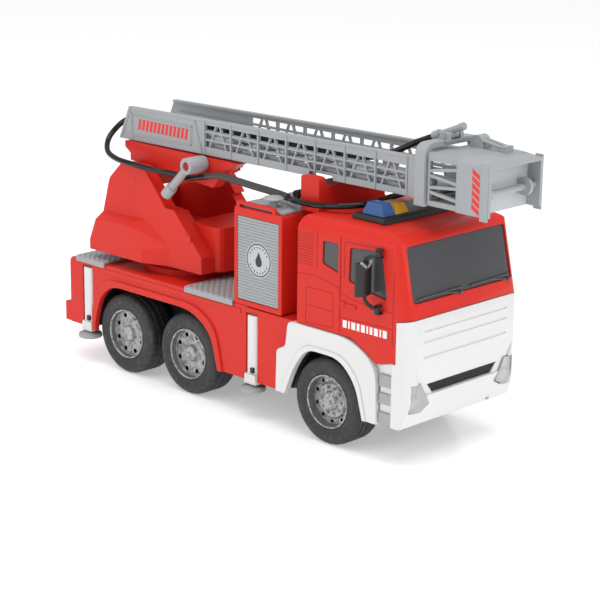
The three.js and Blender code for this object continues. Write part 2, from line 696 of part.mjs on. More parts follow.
function frontMask() {
  const side = [
    [134.5, 64.6], [134.5, 90], [144.4, 92], [MASK_FACE, 90], [MASK_FACE, 52], [143.8, 40],
    [138.5, 24.5, 1], [131.5, 24.5], [131.5, 63.6],
  ];
  let body = prism('y', side, -60, 60).intersect(maskForm(0));
  const hollow = maskForm(WALL).intersect(prism('y', [
    [100, 20], [134.6, 20], [141.4, 40.5], [MASK_FACE - WALL, 52], [MASK_FACE - WALL, 88], [100, 88],
  ], -60, 60));
  body = cut(body, hollow);
  const grooves = [84, 77.5, 68].map((z) => block(MASK_FACE - 0.35, 150, -38, 38, z, z + 1.2));
  body = cut(body, ...grooves);
  body = cut(body, prism('x', GRILLE, 125, 160));
  return cut(body, bothSides(prism('x', HEADLAMP, 125, 160)), block(125, 160, 28, 31.5, 0, 27.5));
}

function grille() {
  const shrunk = GRILLE.map(([y, z]) => [y * 0.985, z > 47 ? z - GAP : z + GAP]);
  const slats = [46.2, 48.4].map((z) => block(MASK_FACE - 1.5, 150, -40, 40, z, z + 0.7));
  const face = cut(prism('x', shrunk, MASK_FACE - 6, MASK_FACE - 0.7), ...slats);
  const backing = prism('x', [
    [-30, 42.5], [-34.5, 52.4], [34.5, 52.4], [30, 42.5],
  ], MASK_FACE - 6, MASK_FACE - WALL - 1.6);
  return join(face, backing);
}
piece('front_grille', grille(), 'black');

function headlamp() {
  const shrunk = HEADLAMP.map(([y, z]) => [y + (y > 42 ? -GAP : GAP), z + (z > 45 ? -GAP : GAP)]);
  return prism('x', shrunk, 135, 160).intersect(cut(maskForm(0.8), maskForm(6)));
}
const headlampLink = join(
  block(134.5, 138.7, -40, 40, 39.5, 42), bothSides(block(134.5, 140.5, 38.8, 42, 39.5, 46)),
);
piece('headlamps', join(bothSides(headlamp()), headlampLink), 'clear');

const FENDER = [
  [46.1, 72.6, 4], [98.3, 72.4, 11], [119.3, 60.9, 11], [120.8, 24], [110, 24], [104, 45, 8],
  [90.8, 58.3, 9], [62.7, 58.3, 8], [52.5, 45, 8], [44, 25], [35.8, 25], [36.4, 52, 2], [44, 56, 2],
];

function fender() {
  const skin = prism('y', FENDER, CHASSIS_HALF + GAP, FENDER_HALF, 5);
  const band = prism('y', FENDER, CHASSIS_HALF + GAP, FENDER_HALF + 0.7, 5);
  return join(skin, band.intersect(prism('y', grown(FRONT_ARCH, 2.8), 40, 60, 5)));
}

// The fenders and the bumper are one moulding, held together by a frame behind the steps.
function trimFrame() {
  const strap = block(113, 117, -CHASSIS_HALF - 2, CHASSIS_HALF + 2, 48, 54);
  const arm = block(116, 139.4, 8, 12, 31, 36);
  const riser = block(113, 117, 8, 12, 30, 50);
  return join(strap, bothSides(join(arm, riser)));
}
piece('front_trim', join(frontMask(), bothSides(fender()), trimFrame()), 'white');

function cabSteps() {
  const back = block(121.6, 131.2, 40, 45.5, 25, 60.5);
  const treads = [[56, 48.6], [44.2, 37.8], [32.2, 25]].map(([top, bottom]) => (
    block(121.6, 131.2, 44, 50.2, bottom, top)));
  return join(back, ...treads);
}
piece('cab_steps', join(bothSides(cabSteps()), block(123, 129, -41, 41, 54, 58)), 'grey');

// ---------------------------------------------------------------- light bar

const LENS_FOOT_Z = 145.9;
const BEACONS = {
  blue: { inner: 24.6, outer: 35.6, top: 153, linkX: 96 },
  yellow: { inner: 12.5, outer: 24.2, top: 151.4, linkX: 104 },
};

// The bar under the cover that joins a pair of lenses, or the channel for it.
function lensLink({ inner, outer, linkX }, clearance) {
  const middle = (inner + outer) / 2;
  const half = 2 + clearance;
  const post = block(linkX - half, linkX + half, middle - half, middle + half, 139, LENS_FOOT_Z + 1);
  const bar = block(linkX - half, linkX + half, -middle - half, middle + half, 139, 144 + clearance);
  return join(bar, bothSides(post));
}

function lens({ inner, outer, top }) {
  const end = [[91.5, LENS_FOOT_Z], [108.5, LENS_FOOT_Z], [105.5, top], [94.5, top]];
  const front = [[inner, LENS_FOOT_Z], [outer, LENS_FOOT_Z], [outer - 1.5, top], [inner + 1.5, top]];
  return prism('y', end, inner - 1, outer + 1).intersect(prism('x', front, 80, 120));
}

function lightBarBase() {
  const side = [[85.5, 140], [85.5, 145.6, 1], [110.5, 145.6, 1.5], [112, 140]];
  const channels = Object.values(BEACONS).map((beacon) => lensLink(beacon, GAP));
  return cut(prism('y', side, -37.5, 37.5), cabForm(-GAP), ...channels);
}
piece('light_bar_base', lightBarBase(), 'black');

for (const [colour, beacon] of Object.entries(BEACONS)) {
  const pair = join(bothSides(lens(beacon)), lensLink(beacon, 0));
  piece(`${colour}_beacons`, cut(pair, cabForm(-GAP)), colour);
}

// ---------------------------------------------------------------- mirrors

function mirrorHousing() {
  const [px, py] = MIRROR_PIVOT;
  const shell = prism('z', [
    [112.5, 52, 1], [115.5, 52, 1], [117.2, 58, 2], [115.5, 64.3, 1], [112.5, 64.3, 1],
  ], 104, 124);
  const recess = block(111, 113.6, 53, 63.3, 105, 123);
  const arm = (level, end) => tube([
    [px, py, level], [px - 1.5, py + 3, level + end * 0.4], [116, 57.6, level + end],
    [114.9, 58, level + 2 * end],
  ], 1.3, 4, 6);
  const knuckle = (low, high) => rod('z', 1.8, low, high, [px, py, 0], 10);
  return join(
    cut(shell, recess), arm(129.5, -3), arm(95.6, 4.6),
    ...MIRROR_KNUCKLES.map((levels) => knuckle(...levels)),
  );
}
for (const [side, sign] of SIDES) {
  piece(`mirror_${side}`, onSide(mirrorHousing(), sign), 'black');
}

// ---------------------------------------------------------------- turntable

// The right cheek reaches further forward than the left one and is thicker there.
const CHEEK_FRONT = { left: -62, right: -49 };

function cheek(front) {
  return prism('y', [
    [-128, 143, 2], [-141, 130.5, 3], [-148, 106, 3], [-152, 90, 3], [-152, TURRET_BOTTOM],
    [front, TURRET_BOTTOM], [front, 91.5, 1], [front - 26.6, 119, 1.5], [-84, 119, 1.5],
    [-102.5, 139.5, 1.5], [-106, 143, 2],
  ], CHEEK_INNER, CHEEK_OUTER);
}

function turret() {
  const shoulder = loft(
    [
      [-148, 106.5], [-154, 90], [-154, TURRET_BOTTOM], [-79.7, TURRET_BOTTOM], [-79.6, 93.2],
      [-103.9, 108.5],
    ],
    CHEEK_OUTER - 0.5,
    [
      [-147, 102], [-153.5, 87], [-153.5, TURRET_BOTTOM], [-100, TURRET_BOTTOM], [-99.9, 88.6],
      [-114, 103.2],
    ],
    SHOULDER_OUTER,
  );
  const shoulderHollow = loft(
    [[-146, 104], [-151, 90], [-151, 60], [-84, 60], [-84, 91.5], [-105.5, 105.5]], CHEEK_OUTER - 2,
    [[-145, 99.5], [-150.8, 86], [-150.8, 60], [-103, 60], [-103, 88], [-115.3, 100]], SHOULDER_OUTER - 2.2,
  );
  const drum = prism('z', [
    [-150, -28], [-44, -24.5, 8], [-44, 24.5, 20], [-150, 28],
  ], TURRET_BOTTOM, 110, 4);
  const drumRoof = prism('y', [
    [-155, 70], [-155, 96], [-80, 98, 4], [-74, 110.5, 3], [-40, 109.5], [-40, 70],
  ], -40, 40);
  const drumHollow = prism('y', [
    [-147, 60], [-147, 93.5], [-78, 95.5], [-71, 107.5], [-47, 107], [-47, 60],
  ], -21, 21).intersect(prism('z', [[-160, -21], [-47, -21, 6], [-47, 21, 19], [-160, 21]], 50, 120, 4));
  const boss = rod('y', 3, CHEEK_OUTER - 1, CHEEK_OUTER + 0.8, [-61.5, 0, 102], 12);
  const thickening = prism('y', [
    [-80, TURRET_BOTTOM], [-80, 117], [CHEEK_FRONT.right - 26.6, 117],
    [CHEEK_FRONT.right, 90], [CHEEK_FRONT.right, TURRET_BOTTOM],
  ], CHEEK_INNER - 4, CHEEK_INNER + 1);
  const floor = block(-112, -84, -26, 26, TURRET_BOTTOM, TURRET_BOTTOM + 2.4);
  const leftSide = cut(join(cheek(CHEEK_FRONT.left), shoulder), shoulderHollow);
  const rightSide = cut(join(cheek(CHEEK_FRONT.right), shoulder, boss, thickening), shoulderHollow);
  let body = join(leftSide, mirrored(rightSide), drum.intersect(drumRoof));
  const spigot = turned('z', [
    [0, 65.8], [15.5, 65.8], [15.5, 69.6], [SPIGOT_RADIUS, 69.6], [SPIGOT_RADIUS, TURRET_BOTTOM + 1],
    [0, TURRET_BOTTOM + 1],
  ], 24, [SWIVEL_X, 0, 0]);
  body = join(cut(body, drumHollow), floor, spigot);
  return cut(body, rod('y', 2.6, -60, 60, [LIFT_X, 0, LIFT_Z]));
}
piece('turret', turret(), 'red');

piece('lift_pin', rod('y', 2.4, -CHEEK_OUTER + 0.6, CHEEK_OUTER - 0.6, [LIFT_X, 0, LIFT_Z]), 'steel');

// ---------------------------------------------------------------- ladder bracket and crank

const BRACKET_HALF = 24.2;

function ladderBracket() {
  const side = [
    [-138.5, 155], [-138.5, 151], [-133, 147.3], [-133, 142.5], [-125, 141.8], [-124.5, 130, 4.5],
    [-116, 125.5, 4.5], [-107.5, 130, 4.5], [-107, 140.4], [-50.8, 136.2], [-42.6, 146.2], [-27.3, 155.2],
  ];
  let body = prism('y', side, -BRACKET_HALF, BRACKET_HALF);
  body = cut(body, prism('y', [
    [-150, 144], [-112, 140, 4], [-112, 120], [-104, 120], [-104, 143.5], [-53, 139], [-45.5, 148],
    [-45.5, 170], [-150, 170],
  ], -19.5, 19.5));
  const topPlate = block(-137, -40, -20, 20, 152.6, 154.9);
  body = join(body, cut(topPlate, block(-71, -48, -5.5, 5.5, 140, 160)));
  body = cut(body, block(-54, -20, -16, 30, 120, 160)); // only the right side reaches past the crank
  body = cut(body, rod('y', 2.62, -60, 60, [LIFT_X, 0, LIFT_Z]));
  return cut(body, rod('y', 3.3, -60, 60, [CRANK_X, 0, CRANK_Z]));
}
piece('ladder_bracket', ladderBracket(), 'red');

const RACK_GAP_PHASE = Math.PI / 2; // a pinion tooth points straight up at rest

piece('crank_shaft', join(
  prism('y', gearOutline(PINION_TEETH, CRANK_X, CRANK_Z, RACK_GAP_PHASE), -2.8, 2.8),
  rod('y', 3, -38.6, 26.8, [CRANK_X, 0, CRANK_Z]),
  rod('y', 4.6, 24.6, 26.8, [CRANK_X, 0, CRANK_Z]),
), 'red');

function crankHandle() {
  const hub = turned('y', [
    [3.1, -40.4], [5.2, -40.4], [5.5, -39.8], [5.5, -26.2], [5.2, -24.7], [3.1, -24.7], [3.1, -40.4],
  ], 16, [CRANK_X, 0, CRANK_Z]);
  const reach = Math.SQRT1_2;
  const place = (distance) => [
    CRANK_X - reach * distance, -37.2, CRANK_Z - reach * distance,
  ];
  const arm = tube([place(4.2), place(14), place(CRANK_THROW - 4)], 2.8, 2, 10);
  const grip = tube([place(CRANK_THROW - 7), place(CRANK_THROW - 3), place(CRANK_THROW + 1.5)], 3.9, 2, 10);
  return cut(join(hub, arm, grip), rod('y', 3.1, -50, -20, [CRANK_X, 0, CRANK_Z]));
}
piece('crank_handle', crankHandle(), 'grey');

// ---------------------------------------------------------------- outer ladder

const ladderTop = (x) => 180.4 + 0.0165 * x;
const ladderBottom = (x) => 156.8 + 0.0094 * x;

const BAY_START = -62;
const BAY_PITCH = 25.1;
const BAYS = 7;

// The windows of one bay: three rows, each split by the two legs of an A.
function bayWindows(x0, x1) {
  const windows = [];
  const middle = (x0 + x1) / 2;
  const rows = [[161.6, 165.6], [167, 170.8], [172.2, 176]];
  const leg = (side, z) => {
    const foot = side < 0 ? x0 + 3.4 : x1 - 3.4;
    const peak = middle + side * 1.4;
    return foot + ((peak - foot) * (z - 160)) / 17;
  };
  for (const [low, high] of rows) {
    windows.push(
      [[x0, low], [leg(-1, low) - 0.6, low], [leg(-1, high) - 0.6, high], [x0, high]],
      [
        [leg(-1, low) + 0.6, low], [leg(1, low) - 0.6, low], [leg(1, high) - 0.6, high],
        [leg(-1, high) + 0.6, high],
      ],
      [[leg(1, low) + 0.6, low], [x1, low], [x1, high], [leg(1, high) + 0.6, high]],
    );
  }
  return windows;
}

function ladderWall() {
  const rear = LADDER_REAR;
  const shape = outline([
    [rear, ladderBottom(rear)], [rear + LADDER_SLANT, ladderTop(rear), 1],
    [LADDER_FRONT, ladderTop(LADDER_FRONT)],
    [LADDER_FRONT, ladderBottom(LADDER_FRONT)], [54, ladderBottom(54)], [53, 160.6], [34, 160.6],
    [33, ladderBottom(33)],
  ]);
  const windows = [];
  for (let bay = 0; bay < BAYS; bay += 1) {
    const start = BAY_START + bay * BAY_PITCH;
    windows.push(...bayWindows(start + 0.7, start + BAY_PITCH - 0.7));
  }
  return pierced(prism('y', shape, LADDER_HALF - 1.8, LADDER_HALF), windows);
}

function outerLadder() {
  const floorTop = (x) => ladderBottom(x) + 1.8;
  const floorOutline = [
    [LADDER_REAR, ladderBottom(LADDER_REAR)], [LADDER_REAR, floorTop(LADDER_REAR)],
    [LADDER_FRONT, floorTop(LADDER_FRONT)], [LADDER_FRONT, ladderBottom(LADDER_FRONT)],
  ];
  const wholeFloor = prism('y', floorOutline, -LADDER_HALF + 1, LADDER_HALF - 1);
  // over the ladder rest the floor steps up, so that the ladder swings past the rest's lugs
  const bridge = block(30, 57, -LADDER_HALF + 1, LADDER_HALF - 1, 158.2, 160.9);
  let floor = cut(join(wholeFloor, bridge), block(33, 54, -30, 30, 140, 159.9));
  const openings = [];
  for (let bay = 0; bay < BAYS; bay += 1) {
    const start = BAY_START + bay * BAY_PITCH;
    openings.push(block(start + 4, start + BAY_PITCH - 4, -15, 15, 150, 160));
  }
  openings.push(block(-71, -48, -5, 5, 150, 160));
  floor = cut(floor, ...openings);
  const rimRear = LADDER_REAR + LADDER_SLANT;
  const flangeOutline = [
    [rimRear, ladderTop(rimRear)], [LADDER_FRONT, ladderTop(LADDER_FRONT)],
    [LADDER_FRONT, ladderTop(LADDER_FRONT) - 1.6], [rimRear, ladderTop(rimRear) - 1.6],
  ];
  const flange = prism('y', flangeOutline, LADDER_HALF - 3.2, LADDER_HALF + 0.2);
  return join(floor, bothSides(join(ladderWall(), flange)));
}
piece('ladder_outer', outerLadder(), 'grey');

// ---------------------------------------------------------------- hoop and nozzle

const HOOP_REAR = 123;
const HOOP_TOP = 191.5;

function ladderHoop() {
  const outer = 25.6;
  const inner = LADDER_HALF + 0.5;
  const arch = outline([
    [-outer, 154.6], [-outer, HOOP_TOP, 8], [outer, HOOP_TOP, 8], [outer, 154.6], [inner, 154.6],
    [inner, HOOP_TOP - 3.2, 5], [-inner, HOOP_TOP - 3.2, 5], [-inner, 154.6],
  ]);
  return prism('x', arch, HOOP_REAR, LADDER_FRONT, 5);
}

const NOZZLE_X = 129.5;
const NOZZLE_Z = 193.9;
const NOZZLE_ANGLE = 0.38;

function nozzleMount() {
  const base = block(123, 132.5, -8.5, 8.5, HOOP_TOP - 1, HOOP_TOP);
  const ear = prism('y', [
    [124.5, HOOP_TOP], [127, NOZZLE_Z + 2.2, 2], [132, NOZZLE_Z + 2.2, 2], [132.5, HOOP_TOP],
  ], 4.4, 7.2);
  return cut(join(base, bothSides(ear)), rod('y', 1.3, -20, 20, [NOZZLE_X, 0, NOZZLE_Z]));
}
piece('ladder_hoop', join(ladderHoop(), nozzleMount()), 'grey');

function nozzle() {
  const along = (distance, lift) => [
    NOZZLE_X + distance * Math.cos(NOZZLE_ANGLE) - lift * Math.sin(NOZZLE_ANGLE), 0,
    NOZZLE_Z + distance * Math.sin(NOZZLE_ANGLE) + lift * Math.cos(NOZZLE_ANGLE),
  ];
  const lift = 2.6; // the barrel lies above the pivot
  const stretch = (from, to, radius) => (
    tube([from, (from + to) / 2, to].map((distance) => along(distance, lift)), radius, 2, 12));
  const lug = rod('y', 2, -4, 4, [NOZZLE_X, 0, NOZZLE_Z], 16);
  const pin = rod('y', 1.15, -7.8, 7.8, [NOZZLE_X, 0, NOZZLE_Z], 12);
  return join(stretch(-14, -9, 3), stretch(-10, 8, 2), stretch(7, 10.5, 2.4), lug, pin);
}
piece('nozzle', nozzle(), 'grey');

// ---------------------------------------------------------------- inner ladder

function innerLadder() {
  const rear = -134;
  const front = LADDER_FRONT + 2;
  const shape = outline([
    [rear, INNER_FLOOR_Z], [rear, INNER_TOP_Z], [front, INNER_TOP_Z], [front, INNER_FLOOR_Z],
  ]);
  const windows = [];
  for (let bay = -1; bay < BAYS; bay += 1) {
    const [from, to] = [BAY_START + bay * BAY_PITCH + 2, BAY_START + (bay + 1) * BAY_PITCH - 2];
    windows.push([[from, 163.4], [to, 163.4], [to, 168.6], [from, 168.6]]);
  }
  const wall = pierced(prism('y', shape, INNER_HALF - 1.6, INNER_HALF), windows);
  const floorHalf = INNER_HALF - 1;
  let floor = block(rear, front, -floorHalf, floorHalf, INNER_FLOOR_Z, INNER_FLOOR_Z + 1.5);
  for (let bay = 0; bay < BAYS; bay += 1) {
    const start = BAY_START + bay * BAY_PITCH;
    floor = cut(floor, block(start + 3, start + BAY_PITCH - 3, -14, 14, 150, 170));
  }
  return join(floor, bothSides(join(wall, neck())), rack());
}

// The open side of the neck between the hoop and the tip box: six rails that lean to and fro.
function neck() {
  const x0 = LADDER_FRONT + 0.6;
  const x1 = 154.6;
  const rails = [[156.6, 156.6], [162.6, 160.2], [165.4, 167.4], [172.4, 170], [175.2, 178.4]];
  const shape = outline([[x0, 155.4], [x0, 187, 1], [x1, 187, 1], [x1, 155.4]]);
  const margin = 1.8;
  const windows = rails.map(([left, right], i) => {
    const above = i + 1 < rails.length ? rails[i + 1] : [182, 182];
    return [
      [x0 + margin, left + 1.9], [x1 - margin, right + 1.9],
      [x1 - margin, above[1]], [x0 + margin, above[0]],
    ];
  });
  const wall = pierced(prism('y', shape, 20.8, 23.4), windows);
  const bridge = block(x0, x0 + 2.2, INNER_HALF - 1.5, 22, INNER_FLOOR_Z, INNER_TOP_Z);
  return join(wall, bridge);
}

// The rack under the inner ladder. A gap between two teeth stands over the crank at rest.
function rack() {
  const points = [[-50, INNER_FLOOR_Z + 0.3], [-133, INNER_FLOOR_Z + 0.3]];
  const pitch = Math.PI;
  const pitchLine = CRANK_Z + PINION_TEETH / 2;
  const [root, tip] = [pitchLine + 1.1, pitchLine - 0.8];
  const first = -23;
  const last = 3;
  points.push([-133, root]);
  for (let tooth = first; tooth < last; tooth += 1) {
    const middle = CRANK_X + (tooth + 0.5) * pitch;
    points.push([middle - 0.95, root], [middle - 0.3, tip], [middle + 0.3, tip], [middle + 0.95, root]);
  }
  points.push([-50, root]);
  return prism('y', points, -2.6, 2.6);
}

// ---------------------------------------------------------------- tip box

function tipBox() {
  const rear = 154.4;
  const section = [
    [-TIP_HALF, 155.2], [-TIP_HALF, 186.6, 3], [TIP_HALF, 186.6, 3], [TIP_HALF, 155.2],
  ];
  let body = prism('x', section, rear, TIP_FRONT, 4);
  body = cut(body, prism('y', [
    [150, 189], [150, 187.2], [rear + 9, 186.2], [TIP_FRONT - 6, 184.8], [TIP_FRONT + 5, 184.4],
    [TIP_FRONT + 5, 189],
  ], -40, 40));
  const inner = TIP_HALF - 2.2;
  body = cut(body, block(rear + 2, 166.5, -inner, inner, 150, 183));
  body = cut(body, block(168.7, 200, -inner, inner, 150, 182.6));
  const step = block(174.5, 200, -TIP_HALF + 3.5, TIP_HALF + 5, 150, 157.5);
  return cut(body, step.intersect(block(170, 200, -15, 15, 150, 160)));
}

function tipCrossbar() {
  const bar = rod('y', 2, -23, 23, [173.4, 0, 168], 12);
  const square = block(170.9, 175.9, -23, -18, 165.5, 170.5);
  const section = [[1.5, 13], [5.4, 13], [5.4, 15.4], [1.5, 15.4], [1.5, 13]];
  const ring = turned('y', section, 20, [173.4, 0, 168]);
  return join(bar, square, ring);
}

// The twin rails on top of the neck, between a knuckle and a foot.
function topRails() {
  const knuckle = prism('y', [
    [135.5, 186], [136.5, 191.6, 2], [139.8, 194.6, 2.2], [144, 193.6, 2], [146, 189], [146, 186],
  ], 8.4, 16.2);
  const foot = block(158.6, 162.4, 8.4, 16.2, 184.5, 190);
  const rails = [9.9, 14.7].map((y) => (
    tube([[142, y, 191.6], [150, y, 190.4], [160.5, y, 188.7]], 1.2, 2, 8)));
  const deck = block(131.6, 154.8, -22.5, 22.5, 184.6, 186.6);
  return join(deck, knuckle, ...rails, foot);
}
piece('ladder_inner', join(innerLadder(), tipBox(), tipCrossbar(), topRails()), 'grey');

// ---------------------------------------------------------------- hose

// The hose in the ladder, from the nozzle down into the channel and back to the rear end.
piece('hose_in_ladder', tube([
  [114.2, -1, 190.4], [106, -6, 186.5], [94, -11, 180], [78, -13, 174.6], [50, -13.5, 173],
  [10, -13.5, 172.8], [-40, -13.5, 172.8], [-90, -13.5, 172.8], [-125, -14, 172.4], [-140, -15, 170.5],
], HOSE_RADIUS, 26), 'hose');

// The free hose from the rear end of the ladder, past the turret, to the sleeve.
piece('hose_rear', tube([
  [-141.2, -15.6, 169.8], [-149, -19, 164.5], [-151.5, -27, 156], [-143, -36, 149], [-130, -39.8, 146],
  [-114, -40.2, 144.8], [-100, -37.5, 143.4], [-84, -32.6, 142], [-68, -30, 141.3], [-53, -29, 144],
], HOSE_RADIUS, 20), 'hose');

// The sleeve that holds the hose over the locker.
piece('hose_sleeve', tube([
  [-52.4, -29, 144.3], [-40, -28.2, 146.4], [-28, -27.2, 145.6], [-10, -25.8, 144], [5, -25.4, 143.1],
  [15, -26, 142.6], [22, -27.6, 142.4],
], SLEEVE_RADIUS, 12), 'sleeve');

// The loop behind the cab roof, round the ladder rest and back to the pump outlet.
piece('hose_front', tube([
  [22.4, -27.8, 142.4], [31, -31.8, 142.6], [41, -34.4, 143.4], [56, -35.2, 144.4], [71, -33, 146],
  [81.5, -25, 147.4], [82, -12, 148], [80.5, 2, 148], [78, 15, 147.5], [70, 27, 146.2],
  [56, 34.4, 144.6], [42, 35.6, 143.4], [31, 31.6, 143], [21.5, 19, 142.4], [17.6, 7, 142], [17, -8.6, 142],
], HOSE_RADIUS, 38), 'hose');

export default model;
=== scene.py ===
# Toy fire engine: what shows of it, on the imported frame.
# Metres, +X forward, +Y to the driver's left, +Z up. Sizes here are in millimetres, times MM.
import math

import bmesh
import bpy
from mathutils import Matrix, Vector


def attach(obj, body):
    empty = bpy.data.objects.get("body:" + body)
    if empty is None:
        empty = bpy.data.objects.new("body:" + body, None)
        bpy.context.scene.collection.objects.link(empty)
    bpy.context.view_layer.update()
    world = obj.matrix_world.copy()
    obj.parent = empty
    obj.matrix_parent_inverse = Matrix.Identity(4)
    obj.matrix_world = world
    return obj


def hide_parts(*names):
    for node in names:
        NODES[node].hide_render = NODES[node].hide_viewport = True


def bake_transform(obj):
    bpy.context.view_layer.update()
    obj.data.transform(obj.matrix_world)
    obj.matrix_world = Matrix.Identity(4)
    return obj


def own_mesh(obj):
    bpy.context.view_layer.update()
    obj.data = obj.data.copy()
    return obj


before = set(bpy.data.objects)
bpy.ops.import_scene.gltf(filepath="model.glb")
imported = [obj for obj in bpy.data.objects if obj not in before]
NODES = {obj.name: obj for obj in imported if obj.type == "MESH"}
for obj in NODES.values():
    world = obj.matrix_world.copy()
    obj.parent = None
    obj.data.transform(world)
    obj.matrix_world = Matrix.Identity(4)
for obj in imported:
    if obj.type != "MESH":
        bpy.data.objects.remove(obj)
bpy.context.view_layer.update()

MM = 0.001
SIDES = (("left", 1), ("right", -1))
SMOOTH_ANGLE = math.radians(35)
FLAT_ANGLE = math.radians(16)
FLAT_SIDED = ("turret", "ladder_bracket", "ladder_hoop")

# Places shared with the CAD. An axle has its place along X, how far out its rims stand, and how
# deep they are dished.
TYRE_RADIUS = 27.5
AXLES = {"rear": (-114.5, 46.2, 4.0), "middle": (-52.0, 46.2, 4.0), "front": (78.5, 49.9, 5.0)}
CAB_SIDE = 50.5
LADDER_SIDE = 21.5
SHUTTER_FACE = 47.4
POSTS = {"rear": -152.5, "middle": 10.3}
LIFT_PIN = (-116, 134)
BAY_START = -62.0
BAY_PITCH = 25.1
BAYS = 7


def vec(*values):
    """A point in metres from millimetres."""
    return Vector(values) * MM


# ---------------------------------------------------------------- camera and light

CAMERA_PLACE = (0.83297, -0.84226, 0.40115)  # metres
CAMERA_LENS = 113.51
AZIMUTH, ELEVATION, ROLL = 44.4814, 15.78, 0.6762  # degrees


def place_camera():
    azimuth, elevation, roll = (math.radians(v) for v in (AZIMUTH, ELEVATION, ROLL))
    back = Vector((
        math.sin(azimuth) * math.cos(elevation),
        -math.cos(azimuth) * math.cos(elevation),
        math.sin(elevation),
    ))
    level = Vector((math.cos(azimuth), math.sin(azimuth), 0))
    upright = back.cross(level)
    right = level * math.cos(roll) + upright * math.sin(roll)
    up = upright * math.cos(roll) - level * math.sin(roll)
    data = bpy.data.cameras.new("camera")
    data.lens = CAMERA_LENS
    data.sensor_width = 36
    camera = bpy.data.objects.new("camera", data)
    turn = Matrix((right, up, back)).transposed().to_4x4()
    camera.matrix_world = Matrix.Translation(CAMERA_PLACE) @ turn
    bpy.context.scene.collection.objects.link(camera)
    bpy.context.scene.camera = camera


def softbox(name, place, target, size, power):
    """A rectangular lamp at a place, turned to its target. Metres and watts."""
    data = bpy.data.lights.new(name, "AREA")
    data.shape = "RECTANGLE"
    data.size, data.size_y = size
    data.energy = power
    lamp = bpy.data.objects.new(name, data)
    lamp.location = place
    lamp.rotation_euler = (Vector(place) - Vector(target)).to_track_quat("Z", "Y").to_euler()
    bpy.context.scene.collection.objects.link(lamp)


def light_scene():
    """A pale sky, and soft lamps above, at the side and in front."""
    world = bpy.data.worlds.new("studio")
    world.use_nodes = True
    background = world.node_tree.nodes["Background"]
    background.inputs["Color"].default_value = (1, 1, 1, 1)
    background.inputs["Strength"].default_value = 0.6
    bpy.context.scene.world = world
    bpy.context.scene.view_settings.view_transform = "Standard"
    softbox("overhead", (0.1, -0.2, 1.5), (0, 0, 0.1), (1.5, 1.1), power=11.5)
    softbox("side_panel", (-0.5, -1.5, 0.7), (0, 0, 0.1), (1.0, 0.9), power=4.6)
    softbox("front_panel", (1.6, 0.1, 0.8), (0.1, 0, 0.1), (0.8, 0.9), power=6.2)


place_camera()
light_scene()

# ---------------------------------------------------------------- materials


class Nodes:
    """Adds nodes to a material and joins them up."""

    def __init__(self, material):
        material.use_nodes = True
        self.tree = material.node_tree
        self.shader = self.tree.nodes["Principled BSDF"]
        self.place = self.add("ShaderNodeTexCoord").outputs["Object"]

    def add(self, kind, **inputs):
        node = self.tree.nodes.new(kind)
        for name, value in inputs.items():
            self.set(node, name.replace("_", " ").title(), value)
        return node

    def set(self, node, socket, value):
        target = node.inputs[socket]
        if isinstance(value, bpy.types.NodeSocket):
            self.tree.links.new(value, target)
        else:
            target.default_value = value

    def noise(self, scale, detail=3.0, distortion=0.0):
        node = self.add("ShaderNodeTexNoise", scale=scale, detail=detail, distortion=distortion)
        self.set(node, "Vector", self.place)
        return node.outputs[0]

    def span(self, value, low, high, to_low, to_high):
        node = self.add("ShaderNodeMapRange", value=value)
        ends = (("From Min", low), ("From Max", high), ("To Min", to_low), ("To Max", to_high))
        for socket, end in ends:
            self.set(node, socket, end)
        return node.outputs[0]

    def math(self, operation, first, second=0.0):
        node = self.tree.nodes.new("ShaderNodeMath")
        node.operation = operation
        for socket, value in zip(node.inputs, (first, second)):
            if isinstance(value, bpy.types.NodeSocket):
                self.tree.links.new(value, socket)
            else:
                socket.default_value = value
        return node.outputs[0]

    def mix(self, amount, first, second):
        node = self.tree.nodes.new("ShaderNodeMix")
        node.data_type = "RGBA"
        for index, value in ((0, amount), (6, first), (7, second)):
            if isinstance(value, bpy.types.NodeSocket):
                self.tree.links.new(value, node.inputs[index])
            else:
                node.inputs[index].default_value = value
        return node.outputs[2]

    def rounded(self, radius):
        """The normal of a surface whose edges are rounded."""
        node = self.tree.nodes.new("ShaderNodeBevel")
        node.samples = 4
        node.inputs["Radius"].default_value = radius
        return node.outputs[0]

    def bump(self, height, strength, distance, normal):
        node = self.add("ShaderNodeBump", strength=strength, distance=distance)
        self.set(node, "Height", height)
        self.set(node, "Normal", normal)
        return node.outputs[0]


def scaled(colour, factor):
    return tuple(min(1.0, c * factor) for c in colour) + (1.0,)


